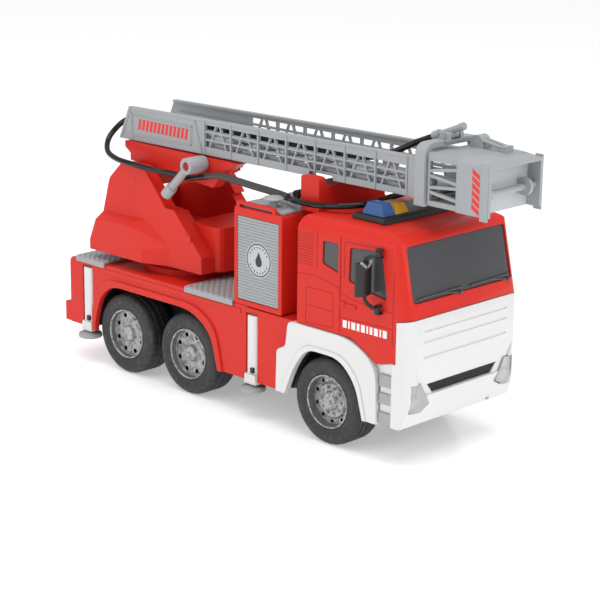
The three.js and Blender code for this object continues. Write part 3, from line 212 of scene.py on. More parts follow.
def moulded(
    name, colour, roughness, edge=0.5, pale=0.12, grain=0.12, tint=0.05, relief=None, **fixed
):
    """A moulded surface: soft colour drift, uneven gloss, fine grain, rounded and worn edges.

    edge is the rounding of the edges, in millimetres, and pale is how far they have rubbed pale.
    relief, where it is given, adds a height and a shade of its own.
    """
    material = bpy.data.materials.new(name)
    n = Nodes(material)
    soft_normal = n.rounded(edge * MM)
    true_normal = n.tree.nodes.new("ShaderNodeNewGeometry").outputs["Normal"]
    turned = n.tree.nodes.new("ShaderNodeVectorMath")
    turned.operation = "DOT_PRODUCT"
    n.tree.links.new(soft_normal, turned.inputs[0])
    n.tree.links.new(true_normal, turned.inputs[1])
    rubbed = n.math("MULTIPLY", n.span(turned.outputs["Value"], 0.98, 0.8, 0.0, 1.0), n.noise(140))
    drift = n.mix(n.noise(22), scaled(colour, 1 - tint), scaled(colour, 1 + tint))
    shade = n.mix(n.math("MULTIPLY", rubbed, 2 * pale), drift, scaled((0.8, 0.8, 0.8), 1))
    height = n.noise(1500, 2.0)
    if relief:
        shade, height = relief(n, shade, height)
    n.set(n.shader, "Base Color", shade)
    gloss = n.span(n.noise(40, 2.0), 0.0, 1.0, max(0.03, roughness - 0.05), roughness + 0.05)
    n.set(n.shader, "Roughness", gloss)
    n.set(n.shader, "Normal", n.bump(height, grain, 0.15 * MM, soft_normal))
    for socket, value in fixed.items():
        n.shader.inputs[socket.replace("_", " ")].default_value = value
    return material


def marbled(n, shade, height):
    """Flow marks in silver paint."""
    veins = n.span(n.noise(170, 5.0, 2.4), 0.42, 0.6, 0.0, 1.0)
    return n.mix(n.math("MULTIPLY", veins, 0.75), shade, (0.11, 0.115, 0.12, 1)), height


def treaded(n, shade, height):
    """Rows of raised studs on a tread plate, with painted shade in the pits between them."""
    parts = n.tree.nodes.new("ShaderNodeSeparateXYZ")
    n.tree.links.new(n.place, parts.inputs[0])
    waves = [
        n.math("SINE", n.math("MULTIPLY", parts.outputs[axis], 2 * math.pi / (5.2 * MM)))
        for axis in ("X", "Y")
    ]
    studs = n.math("MULTIPLY", *waves)
    upper = n.span(parts.outputs["Z"], 73.9 * MM, 74.3 * MM, 0.0, 1.0)
    pits = n.math("MULTIPLY", n.span(studs, -0.5, -0.8, 0.0, 0.9), upper)
    # painted shade: the pits between the studs are darkened almost to black
    pit_shade = n.mix(pits, shade, (0.06, 0.06, 0.062, 1))
    return pit_shade, n.math("MULTIPLY", n.math("MULTIPLY", studs, upper), 2.5)


def ribbed_glass(n, shade, height):
    """Upright optic ribs in a lens."""
    wave = n.tree.nodes.new("ShaderNodeTexWave")
    wave.bands_direction = "Y"
    wave.inputs["Scale"].default_value = 260
    n.tree.links.new(n.place, wave.inputs["Vector"])
    return shade, n.math("MULTIPLY", wave.outputs[0], 0.6)


def worn_tread(n, shade, height):
    """Moulding marks and dust on a tyre."""
    dust = n.span(n.noise(320, 5.0), 0.52, 0.75, 0.0, 0.35)
    return n.mix(dust, shade, (0.13, 0.125, 0.12, 1)), n.math("MULTIPLY", n.noise(700, 4.0), 2.0)


def braided(n, shade, height):
    """Fine cross ribs of a woven sleeve, with painted light on their crests and painted shade
    between them.
    """
    along = n.tree.nodes.new("ShaderNodeSeparateXYZ")
    n.tree.links.new(n.place, along.inputs[0])
    ribs = n.math("SINE", n.math("MULTIPLY", along.outputs["X"], 2 * math.pi / (1.1 * MM)))
    # painted light and shade: the colour is lighter where a rib stands high and darker in its
    # hollows
    ribs_painted_light = n.mix(n.span(ribs, -1.0, 1.0, 0.0, 0.5), shade, (0.09, 0.08, 0.078, 1))
    return ribs_painted_light, n.math("MULTIPLY", ribs, 1.5)


RED = (0.66, 0.024, 0.014)
GREY = (0.35, 0.37, 0.385)
FINISHES = {
    "red": moulded("red", RED, 0.36, 0.7, 0.04, Coat_Weight=0.06, Coat_Roughness=0.06,
                   Specular_IOR_Level=0.22),
    "white": moulded("white", (0.74, 0.74, 0.735), 0.34, 0.8, 0.0, tint=0.02, Coat_Weight=0.1),
    "grey": moulded("grey", GREY, 0.42, 0.4, 0.12),
    "black": moulded("black", (0.012, 0.013, 0.014), 0.42, 0.4, 0.04),
    "glazing": moulded("glazing", (0.062, 0.063, 0.068), 0.22, 0.5, 0.03),
    "tyre": moulded("tyre", (0.024, 0.024, 0.026), 0.6, 0.3, 0.05, 0.3, 0.12, worn_tread),
    "rim": moulded("rim", (0.42, 0.43, 0.44), 0.36, 0.25, 0.2, 0.1, 0.08, marbled, Metallic=0.35),
    "steel": moulded("steel", (0.45, 0.46, 0.47), 0.25, 0.2, 0.1, Metallic=1.0),
    "blue": moulded("blue", (0.05, 0.15, 0.46), 0.16, 0.5, 0.1, relief=ribbed_glass,
                    Transmission_Weight=0.35, Coat_Weight=0.4),
    "yellow": moulded("yellow", (0.9, 0.52, 0.02), 0.18, 0.5, 0.1, relief=ribbed_glass,
                      Transmission_Weight=0.3, Coat_Weight=0.4),
    "clear": moulded("clear", (0.8, 0.82, 0.83), 0.12, 0.4, 0.1, relief=ribbed_glass,
                     Transmission_Weight=0.6, Coat_Weight=0.3),
    "hose": moulded("hose", (0.004, 0.004, 0.005), 0.12, 0.3, 0.01, 0.05, Coat_Weight=0.2,
                    Specular_IOR_Level=0.3),
    "sleeve": moulded("sleeve", (0.036, 0.031, 0.03), 0.4, 0.4, 0.08, 0.2, relief=braided),
}
TREAD_PLATE = moulded("tread_plate", GREY, 0.4, 0.6, 0.15, 0.8, relief=treaded)
# Near-black painted shadow, put on the walls inside the rims' openings.
SHADOW = moulded("painted_shadow", (0.006, 0.006, 0.007), 0.6, 0.2, 0.0)
# The rim's colour darkened: painted shade for the narrow well between a rim's disc and its lip.
RIM_WELL_SHADE = moulded("rim_well_shade", (0.16, 0.165, 0.17), 0.42, 0.2, 0.1, relief=marbled,
                     Metallic=0.3)
PALE_GREY = moulded("pale_grey", (0.5, 0.52, 0.535), 0.45, 0.2, 0.0, tint=0.04)
PRINT_WHITE = moulded("print_white", (0.85, 0.85, 0.84), 0.35, 0.05, 0.0, tint=0.03)
PRINT_RED = moulded("print_red", (0.72, 0.03, 0.02), 0.35, 0.05, 0.0, tint=0.04)
PRINT_BLACK = moulded("print_black", (0.02, 0.02, 0.022), 0.4, 0.05, 0.0, tint=0.05)
MIRROR_SILVER = moulded("mirror_silver", (0.5, 0.51, 0.52), 0.12, 0.2, 0.1, Metallic=0.9)

# ---------------------------------------------------------------- meshes

# The drawing planes say where (u, v, height) is on a side, on the front and on the top.


def on_side(x, z, y):
    return x, y, z


def on_front(y, z, x):
    return x, y, z


def on_top(x, y, z):
    return x, y, z


class Shape:
    """Corners and faces gathered in millimetres, then made into one piece."""

    def __init__(self):
        self.corners = []
        self.faces = []

    def prism(self, plane, outline, low, high):
        """A flat outline drawn on a plane, raised from low to high."""
        start, count = len(self.corners), len(outline)
        for height in (low, high):
            self.corners += [plane(u, v, height) for u, v in outline]
        for i in range(count):
            j = (i + 1) % count
            self.faces.append((start + i, start + j, start + count + j, start + count + i))
        self.faces.append(tuple(range(start, start + count)))
        self.faces.append(tuple(range(start + 2 * count - 1, start + count - 1, -1)))
        return self

    def strip(self, plane, route, width, low, high):
        """A band of one width along a route of points."""
        for (u0, v0), (u1, v1) in zip(route, route[1:]):
            length = math.hypot(u1 - u0, v1 - v0)
            du, dv = (u1 - u0) / length * width / 2, (v1 - v0) / length * width / 2
            self.prism(plane, [
                (u0 - du + dv, v0 - dv - du), (u1 + du + dv, v1 + dv - du),
                (u1 + du - dv, v1 + dv + du), (u0 - du - dv, v0 - dv + du),
            ], low, high)
        return self

    def disc(self, plane, centre, radius, low, high, sides=24, turn=0.0):
        outline = []
        for i in range(sides):
            angle = turn + 2 * math.pi * i / sides
            outline.append((
                centre[0] + radius * math.cos(angle), centre[1] + radius * math.sin(angle),
            ))
        return self.prism(plane, outline, low, high)

    def ring(self, plane, centre, outer, inner, low, high, sides=48):
        for i in range(sides):
            first, last = (2 * math.pi * k / sides for k in (i, i + 1))
            corners = ((outer, first), (outer, last), (inner, last), (inner, first))
            self.prism(plane, [
                (centre[0] + r * math.cos(a), centre[1] + r * math.sin(a)) for r, a in corners
            ], low, high)
        return self

    def lathe(self, profile, centre, segments, relief=None):
        """A closed ring of (radius, distance along Y) turned about a line through the centre."""
        start, count = len(self.corners), len(profile)
        for i in range(segments):
            angle = 2 * math.pi * i / segments
            for k, (radius, along) in enumerate(profile):
                r = radius - (relief(i, k) if relief else 0)
                self.corners.append((
                    centre[0] + r * math.cos(angle), along, centre[1] + r * math.sin(angle),
                ))
        for i in range(segments):
            for k in range(count):
                a, b = start + i * count, start + (i + 1) % segments * count
                j = (k + 1) % count
                self.faces.append((a + k, a + j, b + j, b + k))
        return self

    def mirrored(self):
        """Adds the same shape on the object's other side."""
        start = len(self.corners)
        self.corners += [(x, -y, z) for x, y, z in self.corners]
        self.faces += [tuple(start + i for i in reversed(face)) for face in self.faces]
        return self

    def flipped(self, sign):
        """Moves the shape to the left for 1 and to the right for -1."""
        self.corners = [(x, sign * y, z) for x, y, z in self.corners]
        return self

    def build(self, name):
        mesh = bpy.data.meshes.new(name)
        mesh.from_pydata([vec(*corner) for corner in self.corners], [], self.faces)
        clean(mesh)
        thing = bpy.data.objects.new(name, mesh)
        bpy.context.scene.collection.objects.link(thing)
        return thing


def clean(mesh):
    """Joins doubled corners, turns the faces outwards and keeps only real edges sharp."""
    work = bmesh.new()
    work.from_mesh(mesh)
    bmesh.ops.remove_doubles(work, verts=work.verts, dist=1e-6)
    bmesh.ops.recalc_face_normals(work, faces=work.faces)
    work.to_mesh(mesh)
    work.free()
    mesh.shade_smooth()
    mesh.set_sharp_from_angle(angle=SMOOTH_ANGLE)


def finish_piece(thing, slot, body, material=None, replaced=()):
    """Gives a piece the finish of its slot, or the material given, puts it on its body and hides
    the CAD nodes that it stands for.
    """
    thing.data.materials.clear()
    thing.data.materials.append(material or FINISHES[slot])
    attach(thing, body)
    if replaced:
        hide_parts(*replaced)
    return thing


def carve(thing, tool):
    """Cuts the tool out of the piece."""
    cutting = thing.modifiers.new("cut", "BOOLEAN")
    cutting.operation = "DIFFERENCE"
    cutting.solver = "EXACT"
    cutting.use_self = True
    cutting.object = tool
    graph = bpy.context.evaluated_depsgraph_get()
    result = bpy.data.meshes.new_from_object(thing.evaluated_get(graph))
    thing.modifiers.clear()
    thing.data = result
    bpy.data.objects.remove(tool)
    clean(thing.data)


def welded_copy(node, name):
    """A free copy of a CAD node that can be worked on."""
    source = NODES[node].data
    mesh = bpy.data.meshes.new(name)
    corners = [v.co.copy() for v in source.vertices]
    mesh.from_pydata(corners, [], [tuple(p.vertices) for p in source.polygons])
    clean(mesh)
    thing = bpy.data.objects.new(name, mesh)
    bpy.context.scene.collection.objects.link(thing)
    return thing


def smooth_cad(node, angle):
    """Shades faces that meet at less than the angle as one curved surface. No corner moves."""
    mesh = node.data
    custom = mesh.attributes.get("custom_normal")
    if custom:
        mesh.attributes.remove(custom)
    place = [tuple(round(c, 6) for c in v.co) for v in mesh.vertices]
    meeting = {}
    for polygon in mesh.polygons:
        for a, b in polygon.edge_keys:
            meeting.setdefault(frozenset((place[a], place[b])), []).append(polygon.normal.copy())
    limit = math.cos(angle)
    mesh.shade_smooth()
    for edge in mesh.edges:
        first, *others = meeting.get(frozenset(place[v] for v in edge.vertices), [Vector()])
        edge.use_edge_sharp = any(first.dot(other) < limit for other in others)
    weld = node.modifiers.new("weld", "WELD")
    weld.merge_threshold = 1e-6


for node_name, cad_node in NODES.items():
    smooth_cad(cad_node, FLAT_ANGLE if node_name in FLAT_SIDED else SMOOTH_ANGLE)
    slot_name = cad_node.data.materials[0].name.split(".")[0]
    cad_node.data.materials[0] = FINISHES[slot_name]
for plate in ("rear_tread_plate", "middle_tread_plate"):
    NODES[plate].data.materials[0] = TREAD_PLATE

# ---------------------------------------------------------------- hoses


def spline(points, steps=6):
    """A smooth line through the points."""
    points = [Vector(p) for p in points]
    whole = [2 * points[0] - points[1], *points, 2 * points[-1] - points[-2]]
    line = []
    for i in range(len(points) - 1):
        p = whole[i:i + 4]
        t = [0.0]
        for a, b in zip(p, p[1:]):
            t.append(t[-1] + math.sqrt((b - a).length))
        for step in range(steps):
            now = t[1] + (t[2] - t[1]) * step / steps
            level = p
            for reach in (1, 2, 3):
                spans = []
                for k in range(len(level) - 1):
                    low, high = (k, k + reach) if reach < 3 else (1, 2)
                    share = (now - t[low]) / (t[high] - t[low])
                    spans.append(level[k].lerp(level[k + 1], share))
                level = spans
            line.append(level[0])
    line.append(points[-1])
    return line


THIN_START = 0.84


def hose(name, route, radius, sides=16, flatness=1.0, lead=0):
    """A hose along the route, and the line down its middle.

    flatness below 1 presses it into a band. lead is the number of steps in which a hose that
    starts a little thinner swells to its full size.
    """
    line = spline(route)
    shape = Shape()
    upright = Vector((0, 0, 1))
    for i, point in enumerate(line):
        swollen = min(i / lead, 1) if lead else 1
        size = radius * (THIN_START + (1 - THIN_START) * swollen)
        ahead = (line[min(i + 1, len(line) - 1)] - line[max(i - 1, 0)]).normalized()
        across = ahead.cross(upright).normalized()
        upright = across.cross(ahead).normalized()
        for k in range(sides):
            angle = 2 * math.pi * k / sides
            spot = point + size * (across * math.cos(angle) * flatness + upright * math.sin(angle))
            shape.corners.append(tuple(spot))
    for i in range(len(line) - 1):
        for k in range(sides):
            j = (k + 1) % sides
            low, high = i * sides, (i + 1) * sides
            shape.faces.append((low + k, low + j, high + j, high + k))
    shape.faces.append(tuple(range(sides)))
    shape.faces.append(tuple(reversed(range((len(line) - 1) * sides, len(line) * sides))))
    return shape.build(name), [point * MM for point in line]


def dress(thing, slot, *replaced):
    """Gives a hose the finish of its slot, and hides the CAD node that it stands for."""
    thing.data.materials.append(FINISHES[slot])
    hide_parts(*replaced)


HOSE_RADIUS = 1.9
REAR_ROUTE = [
    (-141.2, -15.6, 169.8), (-149, -19, 164.5), (-151.5, -27, 156), (-143, -36, 149),
    (-130, -39.8, 146), (-114, -40.2, 144.8), (-100, -37.5, 143.4), (-84, -32.6, 142),
    (-68, -30, 141.3), (-53, -29, 144),
]
SLEEVE_ROUTE = [
    (-52.4, -29, 144.3), (-40, -28.2, 146.4), (-28, -27.2, 145.6), (-10, -25.8, 144),
    (5, -25.4, 143.1), (15, -26, 142.6), (22, -27.6, 142.4),
]
FRONT_ROUTE = [
    (31, -31.8, 142.6), (41, -34.4, 143.4), (56, -35.2, 144.4), (71, -33, 146), (81.5, -25, 147.4),
    (82, -12, 148), (80.5, 2, 148), (78, 15, 147.5), (70, 27, 146.2), (56, 34.4, 144.6),
    (42, 35.6, 143.4), (31, 31.6, 143), (21.5, 19, 142.4), (17.6, 7, 142), (17, -8.6, 142),
]
LADDER_ROUTE = [
    (117.6, -0.1, 191.8), (114.2, -1, 190.4), (106, -6, 186.5), (94, -11, 180), (78, -13, 174.6),
    (50, -13.5, 173), (10, -13.5, 172.8), (-40, -13.5, 172.8), (-90, -13.5, 172.8),
    (-125, -14, 172.4), (-140, -15, 170.5),
]

ladder_hose, _ = hose("ladder_hose", LADDER_ROUTE, HOSE_RADIUS)
dress(ladder_hose, "hose", "hose_in_ladder")
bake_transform(ladder_hose)

rear_hose, rear_line = hose("rear_hose", REAR_ROUTE, HOSE_RADIUS)
dress(rear_hose, "hose", "hose_rear")
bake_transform(rear_hose)

sleeve, _ = hose("hose_band", SLEEVE_ROUTE, 2.35, flatness=0.95, lead=9)
dress(sleeve, "sleeve", "hose_sleeve")
front_hose, front_line = hose(
    "front_hose", [REAR_ROUTE[-1], *SLEEVE_ROUTE[1:], *FRONT_ROUTE], HOSE_RADIUS)
dress(front_hose, "hose", "hose_front")
for part in (sleeve, front_hose):
    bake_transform(part)

# ---------------------------------------------------------------- wheels

TYRE_WIDTH = 21.8
TREAD_NOTCHES = 36


def tyre_shape(x, face):
    """A tyre with rounded shoulders, three grooves and notched shoulders."""
    half = [
        (17.1, 1.6), (17.6, 0.8), (18.5, 0.6), (19.6, 0.55), (20, 0.3), (22.4, 0.05), (24.2, 0.15),
        (25.4, 0.6), (26.4, 1.3), (27.1, 2.3), (27.45, 3.4), (27.5, 5.2), (26.8, 5.4), (26.8, 6.3),
        (27.5, 6.5), (27.5, 10), (26.8, 10.2),
    ]
    profile = half + [(r, TYRE_WIDTH - d) for r, d in reversed(half)]
    shoulders = {9, 10, 11, len(profile) - 12, len(profile) - 11, len(profile) - 10}

    def notch(i, k):
        return 0.55 if k in shoulders and i % 4 == 0 else 0

    around = [(r, face - d) for r, d in profile]
    return Shape().lathe(around, (x, TYRE_RADIUS), 4 * TREAD_NOTCHES, notch)


# how many openings a rim has, how far from its middle they are, and how wide
FRONT_OPENINGS = (10, 13.5, 1.2)
REAR_OPENINGS = (8, 12.6, 1.6)
NUTS = 10
NUT_REACH = 8.5


def rim_profile(dish, front):
    """A rim's section from the hub to the lip and back, as (radius, depth behind the lip)."""
    if front:
        hub = [
            (0.01, dish - 4), (1.8, dish - 3.9), (2.4, dish - 3.1), (4.8, dish - 2.7),
            (5.5, dish - 1.7), (6.3, dish - 0.9), (10.5, dish - 0.9), (11.2, dish - 0.3),
            (11.9, dish + 0.4), (15.3, dish + 0.4), (15.6, dish - 0.4), (15.9, 0.8),
        ]
    else:
        hub = [
            (0.01, dish - 2.6), (4.2, dish - 2.5), (4.9, dish - 2.1), (5.4, dish - 1.2),
            (5.9, dish - 0.2), (6.5, dish), (15.2, dish), (15.5, dish - 0.4), (15.8, 0.8),
        ]
    lip = [(16, 0.2), (16.5, 0), (16.9, 0.1), (17.1, 0.7), (17.1, 20), (2.2, 20), (2.2, dish + 2)]
    return hub + lip + [(0.01, dish + 2)]


def rim(name, x, track, dish, side, sign, body):
    """A rim with its ring of openings, and on the front wheels its ring of wheel nuts."""
    front = body == "front_wheels"
    count, reach, size = FRONT_OPENINGS if front else REAR_OPENINGS
    around = [(r, track - d) for r, d in rim_profile(dish, front)]
    thing = Shape().lathe(around, (x, TYRE_RADIUS), 80).flipped(sign).build(name)
    tool = Shape()
    for i in range(count):
        angle = 2 * math.pi * (i + 0.5) / count
        spot = (x + reach * math.cos(angle), TYRE_RADIUS + reach * math.sin(angle))
        tool.disc(on_side, spot, size, track - dish - 3, track - dish + 3, 16)
    carve(thing, tool.flipped(sign).build("tool"))
    thing = finish_piece(thing, "rim", body, replaced=[name.replace("wheel", "rim")])
    thing.data.materials.append(SHADOW)
    thing.data.materials.append(RIM_WELL_SHADE)
    for polygon in thing.data.polygons:
        depth = track - sign * polygon.center.y / MM
        reached = math.hypot(polygon.center.x / MM - x, polygon.center.z / MM - TYRE_RADIUS)
        if dish + 0.8 < depth < dish + 4:
            polygon.material_index = 1  # painted shadow on the walls inside the openings
        elif 15.4 < reached < 15.9 and depth > 0.6:
            polygon.material_index = 2  # painted shade in the well between disc and lip
    if front:
        nuts = Shape()
        for i in range(NUTS):
            angle = 2 * math.pi * i / NUTS
            spot = (x + NUT_REACH * math.cos(angle), TYRE_RADIUS + NUT_REACH * math.sin(angle))
            base = track - dish + 0.7
            nuts.disc(on_side, spot, 1.05, base, base + 0.7, 6, angle)
            nuts.disc(on_side, spot, 0.7, base + 0.6, base + 1.3, 12)
        nuts = nuts.flipped(sign).build(f"front_nuts_{side}")
        finish_piece(nuts, "rim", body)


for axle, (axle_x, track, dish) in AXLES.items():
    for side, sign in SIDES:
        tyre = tyre_shape(axle_x, track + 0.4).flipped(sign).build(f"{axle}_tread_{side}")
        finish_piece(tyre, "tyre", f"{axle}_wheels", replaced=[f"{axle}_tyre_{side}"])
        rim(f"{axle}_wheel_{side}", axle_x, track, dish, side, sign, f"{axle}_wheels")

# ---------------------------------------------------------------- cab


def cab_grooves():
    """The air slots and the parting lines on both sides of the cab."""
    tool = Shape()
    outer, floor = CAB_SIDE + 2, CAB_SIDE - 0.28
    for i in range(12):
        z = 111.4 + 1.72 * i
        tool.strip(on_side, [(50, z), (66.2, z)], 0.6, floor, outer)
    hatch = [
        (61.8, 97.4), (82, 97.6), (83, 96.6), (83.8, 76.2), (60.4, 74.6), (60.8, 96.4),
        (61.8, 97.4),
    ]
    lines = [
        [(69.5, 111), (69.5, 133.6)],
        [(50, 134.1), (127, 133.8)],
        [(50, 104.7), (65.4, 105.6), (76, 104.8), (88.4, 101.6)],
        [(89.4, 99.2), (100, 96.6), (131, 95)],
        hatch,
        [(60.6, 86), (83.4, 86.2)],
        [(89.4, 84), (131.4, 85.5)],
        [(131.5, 76), (131.5, 118)],
        [(92.2, 108.6), (92.2, 131), (122.5, 131.8)],
    ]
    for line in lines:
        tool.strip(on_side, line, 0.6, floor, outer)
    return tool.mirrored().build("tool")


cab = welded_copy("cab_shell", "cab_body")
carve(cab, cab_grooves())
finish_piece(cab, "red", "vehicle", replaced=["cab_shell"])
cab.data.materials.append(FINISHES["black"])
for face in cab.data.polygons:
    if abs(face.center.y) > (CAB_SIDE + 0.2) * MM and 117 * MM < face.center.x < 125 * MM:
        face.material_index = 1  # the plates that the mirrors hinge on


def step_panels():
    """The pale panels between and above the cab steps."""
    shape = Shape()
    rear, front = 121.3, 131.2
    for bottom, rear_top, front_top in ((32.3, 37.7, 37.7), (44.3, 48.5, 48.5), (56.1, 61.3, 64.1)):
        panel = [(rear, bottom), (front, bottom), (front, front_top), (rear, rear_top)]
        shape.prism(on_side, panel, 45.6, 48.8)
    shape.prism(on_side, [(108, 52), (121.5, 52), (121.5, 63), (108, 68)], 45.6, 47.5)
    return shape.mirrored().build("step_panels")


finish_piece(step_panels(), "white", "vehicle")


def mask_recess():
    """The sunken middle of the front, deepest at the grille, with a shelf below."""
    deepest, clear = 143.25, 150
    shelf = [(-39.8, 44.2), (39.8, 44.2), (41.5, 50.7), (-41.5, 50.7)]
    flat = Shape().prism(on_front, shelf, deepest, clear)

    def sloping(y, z, x):
        return (x if x == clear else deepest + (z - 50.6) * 0.155, y, z)

    lower = [(-41.5, 50.6), (41.5, 50.6), (44.4, 60), (-44.4, 60)]
    upper = [(-44.4, 59.9), (44.4, 59.9), (44.4, 64.2), (-44.4, 64.2)]
    return flat.prism(sloping, lower, 0, clear).prism(sloping, upper, 0, clear).build("tool")


mask = welded_copy("front_trim", "front_mask")
carve(mask, mask_recess())
finish_piece(mask, "white", "vehicle", replaced=["front_trim"])


def grille():
    """A sunken grille of fine upright ribs."""
    shape = Shape()
    bottom, top, ribs = 44.9, 50.4, 44
    shape.prism(on_front, [(-27, bottom), (27, bottom), (32, top), (-32, top)], 139.4, 141.6)
    for i in range(ribs):
        y = -31 + 62 * i / (ribs - 1)
        low = bottom + max(0.0, abs(y) - 26.8) * 1.1
        rib = [(y - 0.4, low), (y + 0.4, low), (y + 0.4, top), (y - 0.4, top)]
        shape.prism(on_front, rib, 141.5, 142.5)
    return shape.build("grille_ribs")


finish_piece(grille(), "black", "vehicle", replaced=["front_grille"])


def face_x(z, inset):
    """How far forward the windscreen's surface is at a height."""
    return 143.8 - (z - 97) * 7.3 / 37 - inset


def wipers():
    """Two blades on arms, each with its pivot at the foot of the windscreen."""
    shape = Shape()
    for inner, outer, pivot in ((-3.1, -40.5, -4), (41.8, 6.4, 41)):
        for (y0, z0), (y1, z1), width, proud in (
            ((inner, 104.6), (outer, 103.9), 0.7, 0.6),
            ((pivot, 101.6), ((inner + outer) / 2, 104.1), 0.8, 0.9),
        ):
            back, face = face_x(104, 1.6), face_x(104, -proud)
            shape.strip(on_front, [(y0, z0), (y1, z1)], width, back, face)
        shape.disc(on_front, (pivot, 101.6), 1.1, face_x(101, 1.6), face_x(101, -1.1), 20)
    return shape.build("wipers")


finish_piece(wipers(), "glazing", "vehicle")


def door_trim():
    """The grip of each door's handle and the block at its rear end."""
    shape = Shape()
    shape.strip(on_side, [(92.4, 92.5), (101, 92.2)], 2.0, CAB_SIDE - 0.3, CAB_SIDE + 0.7)
    shape.strip(on_side, [(91.4, 92.5), (91.5, 92.5)], 3.2, CAB_SIDE - 0.3, CAB_SIDE + 1)
    return shape.mirrored().build("door_handles")


finish_piece(door_trim(), "red", "vehicle")


def door_bars():
    """A row of plain bars of uneven width in place of a printed strip."""
    shape = Shape()
    start = 91.5
    x = start
    for width in (3.2, 1.4, 3.2, 2.2, 3.2, 1.4, 2.2, 3.2, 1.4, 3.2):
        z = 78.2 + 0.01 * (x - start)
        shape.prism(on_side, [(x, z), (x + width, z), (x + width, z + 4.6), (x, z + 4.6)],
                    CAB_SIDE - 0.2, CAB_SIDE + 0.06)
        x += width + 1.2
    return shape.mirrored().build("door_bars")


finish_piece(door_bars(), "white", "vehicle", PRINT_WHITE)


def mirror_glass(sign):
    """The silvered glass on the rear of a mirror."""
    shape = Shape()
    shape.prism(on_front, [(54, 106), (54, 122), (62.4, 122), (62.4, 106)], 113.2, 113.9)
    return shape.flipped(sign)


def mirror_notch(sign):
    """The pale chevron moulded into the front of a mirror's housing."""
    shape = Shape()
    shape.strip(on_front, [(54.2, 124.2), (58, 120.8), (62, 124.2)], 1.3, 115.8, 117.4)
    return shape.flipped(sign)


for side, sign in SIDES:
    glass = mirror_glass(sign).build(f"mirror_glass_{side}")
    finish_piece(glass, "steel", f"mirror_{side}", MIRROR_SILVER)
    chevron = mirror_notch(sign).build(f"mirror_notch_{side}")
    finish_piece(chevron, "grey", f"mirror_{side}")

# ---------------------------------------------------------------- locker


def shutters():
    """Roller shutters with fine rounded slats."""
    x0, x1, z0, z1 = -2.9, 33.1, 76.3, 130.2
    slats = 28
    pitch = (z1 - z0) / slats
    section = [(SHUTTER_FACE - 1.1, z0), (SHUTTER_FACE - 1.1, z1)]
    slat = ((0.02, 0.45), (0.14, 0.12), (0.35, 0), (0.6, 0), (0.84, 0.12), (0.95, 0.45))
    for i in range(slats, 0, -1):
        top = z0 + i * pitch
        for share, depth in slat:
            section.append((SHUTTER_FACE - depth, top - share * pitch))
    return Shape().prism(on_front, section, x0, x1).mirrored().build("shutter_slats")


finish_piece(shutters(), "grey", "vehicle", replaced=["locker_shutters"])

EMBLEM = (15.9, 104.3)
EMBLEM_BACK = SHUTTER_FACE - 0.4
EMBLEM_DOTS = 20


def emblem_disc():
    """The pale ground of the round emblem."""
    shape = Shape().disc(on_side, EMBLEM, 11.3, EMBLEM_BACK, SHUTTER_FACE + 0.05, 64)
    return shape.mirrored().build("emblem_disc")


def emblem_mark():
    """A plain ring of dots round a drop."""
    low, high = EMBLEM_BACK, SHUTTER_FACE + 0.1
    shape = Shape().ring(on_side, EMBLEM, 10.6, 9.9, low, high, 64)
    for i in range(EMBLEM_DOTS):
        angle = 2 * math.pi * (i + 0.5) / EMBLEM_DOTS
        if abs(math.sin(angle)) > 0.25:
            spot = (EMBLEM[0] + 8.2 * math.cos(angle), EMBLEM[1] + 8.2 * math.sin(angle))
            shape.disc(on_side, spot, 0.55, low, high, 10)
    drop = [
        (0, 5.4), (1.5, 2.2), (2.9, -0.4), (2.6, -2.8), (1.2, -4.2), (-1.2, -4.2), (-2.6, -2.8),
        (-2.9, -0.4), (-1.5, 2.2),
    ]
    shape.prism(on_side, [(EMBLEM[0] + u, EMBLEM[1] + v) for u, v in drop], low, high)
    return shape.mirrored().build("emblem_mark")


finish_piece(emblem_disc(), "white", "vehicle", PALE_GREY)
finish_piece(emblem_mark(), "black", "vehicle", PRINT_BLACK)

# ---------------------------------------------------------------- ladder


def ladder_top(x):
    """How high the ladder's upper edge is at a place along it."""
    return 180.4 + 0.0165 * x


def ladder_bottom(x):
    """How high the ladder's lower edge is at a place along it."""
    return 156.8 + 0.0094 * x


def ladder_ribs():
    """The proud ribs of the ladder's walls and the frame round the sign."""
    low, high = LADDER_SIDE - 0.5, LADDER_SIDE + 0.55
    shape = Shape()
    for i in range(BAYS + 1):
        x = BAY_START + BAY_PITCH * i
        shape.strip(on_side, [(x, ladder_bottom(x) + 1), (x, ladder_top(x) - 1.4)], 1.3, low, high)
    shape.strip(on_side, [(-71.3, 177), (-64.4, 157.4)], 1.1, low, high)
    shape.strip(on_side, [(-136, 177.4), (-133.4, 157)], 1.0, low, high - 0.2)
    shape.strip(on_side, [(-144, 158.5), (-136.6, 175.5)], 1.0, low, high - 0.2)
    frame_line = [(-133.4, 173.6), (-74, 173.2), (-74.6, 160.6), (-133.6, 159.4), (-133.4, 173.6)]
    shape.strip(on_side, frame_line, 0.7, low, high - 0.25)
    return shape.mirrored().build("ladder_ribs")


finish_piece(ladder_ribs(), "grey", "ladder")


def sign_blocks():
    """A row of leaning blocks in place of printed words."""
    shape = Shape()
    start, end, count, lean = -128, -77.4, 13, 1.4
    bottom, top = 163.6, 171
    pitch = (end - start) / count
    wide = 0.68 * pitch
    for i in range(count):
        x = start + i * pitch
        block = [(x, bottom), (x + wide, bottom), (x + wide + lean, top), (x + lean, top)]
        shape.prism(on_side, block, LADDER_SIDE - 0.3, LADDER_SIDE + 0.14)
    return shape.mirrored().build("sign_bars")


sign_ground = Shape().prism(
    on_side, [(-130.4, 161.6), (-75.6, 162), (-75.2, 172.4), (-130.2, 172.2)],
    LADDER_SIDE - 0.3, LADDER_SIDE + 0.08,
).mirrored().build("sign_ground")
finish_piece(sign_ground, "grey", "ladder")
finish_piece(sign_blocks(), "red", "ladder", PRINT_RED)

# ---------------------------------------------------------------- tip box

TIP_SIDE = 24.7


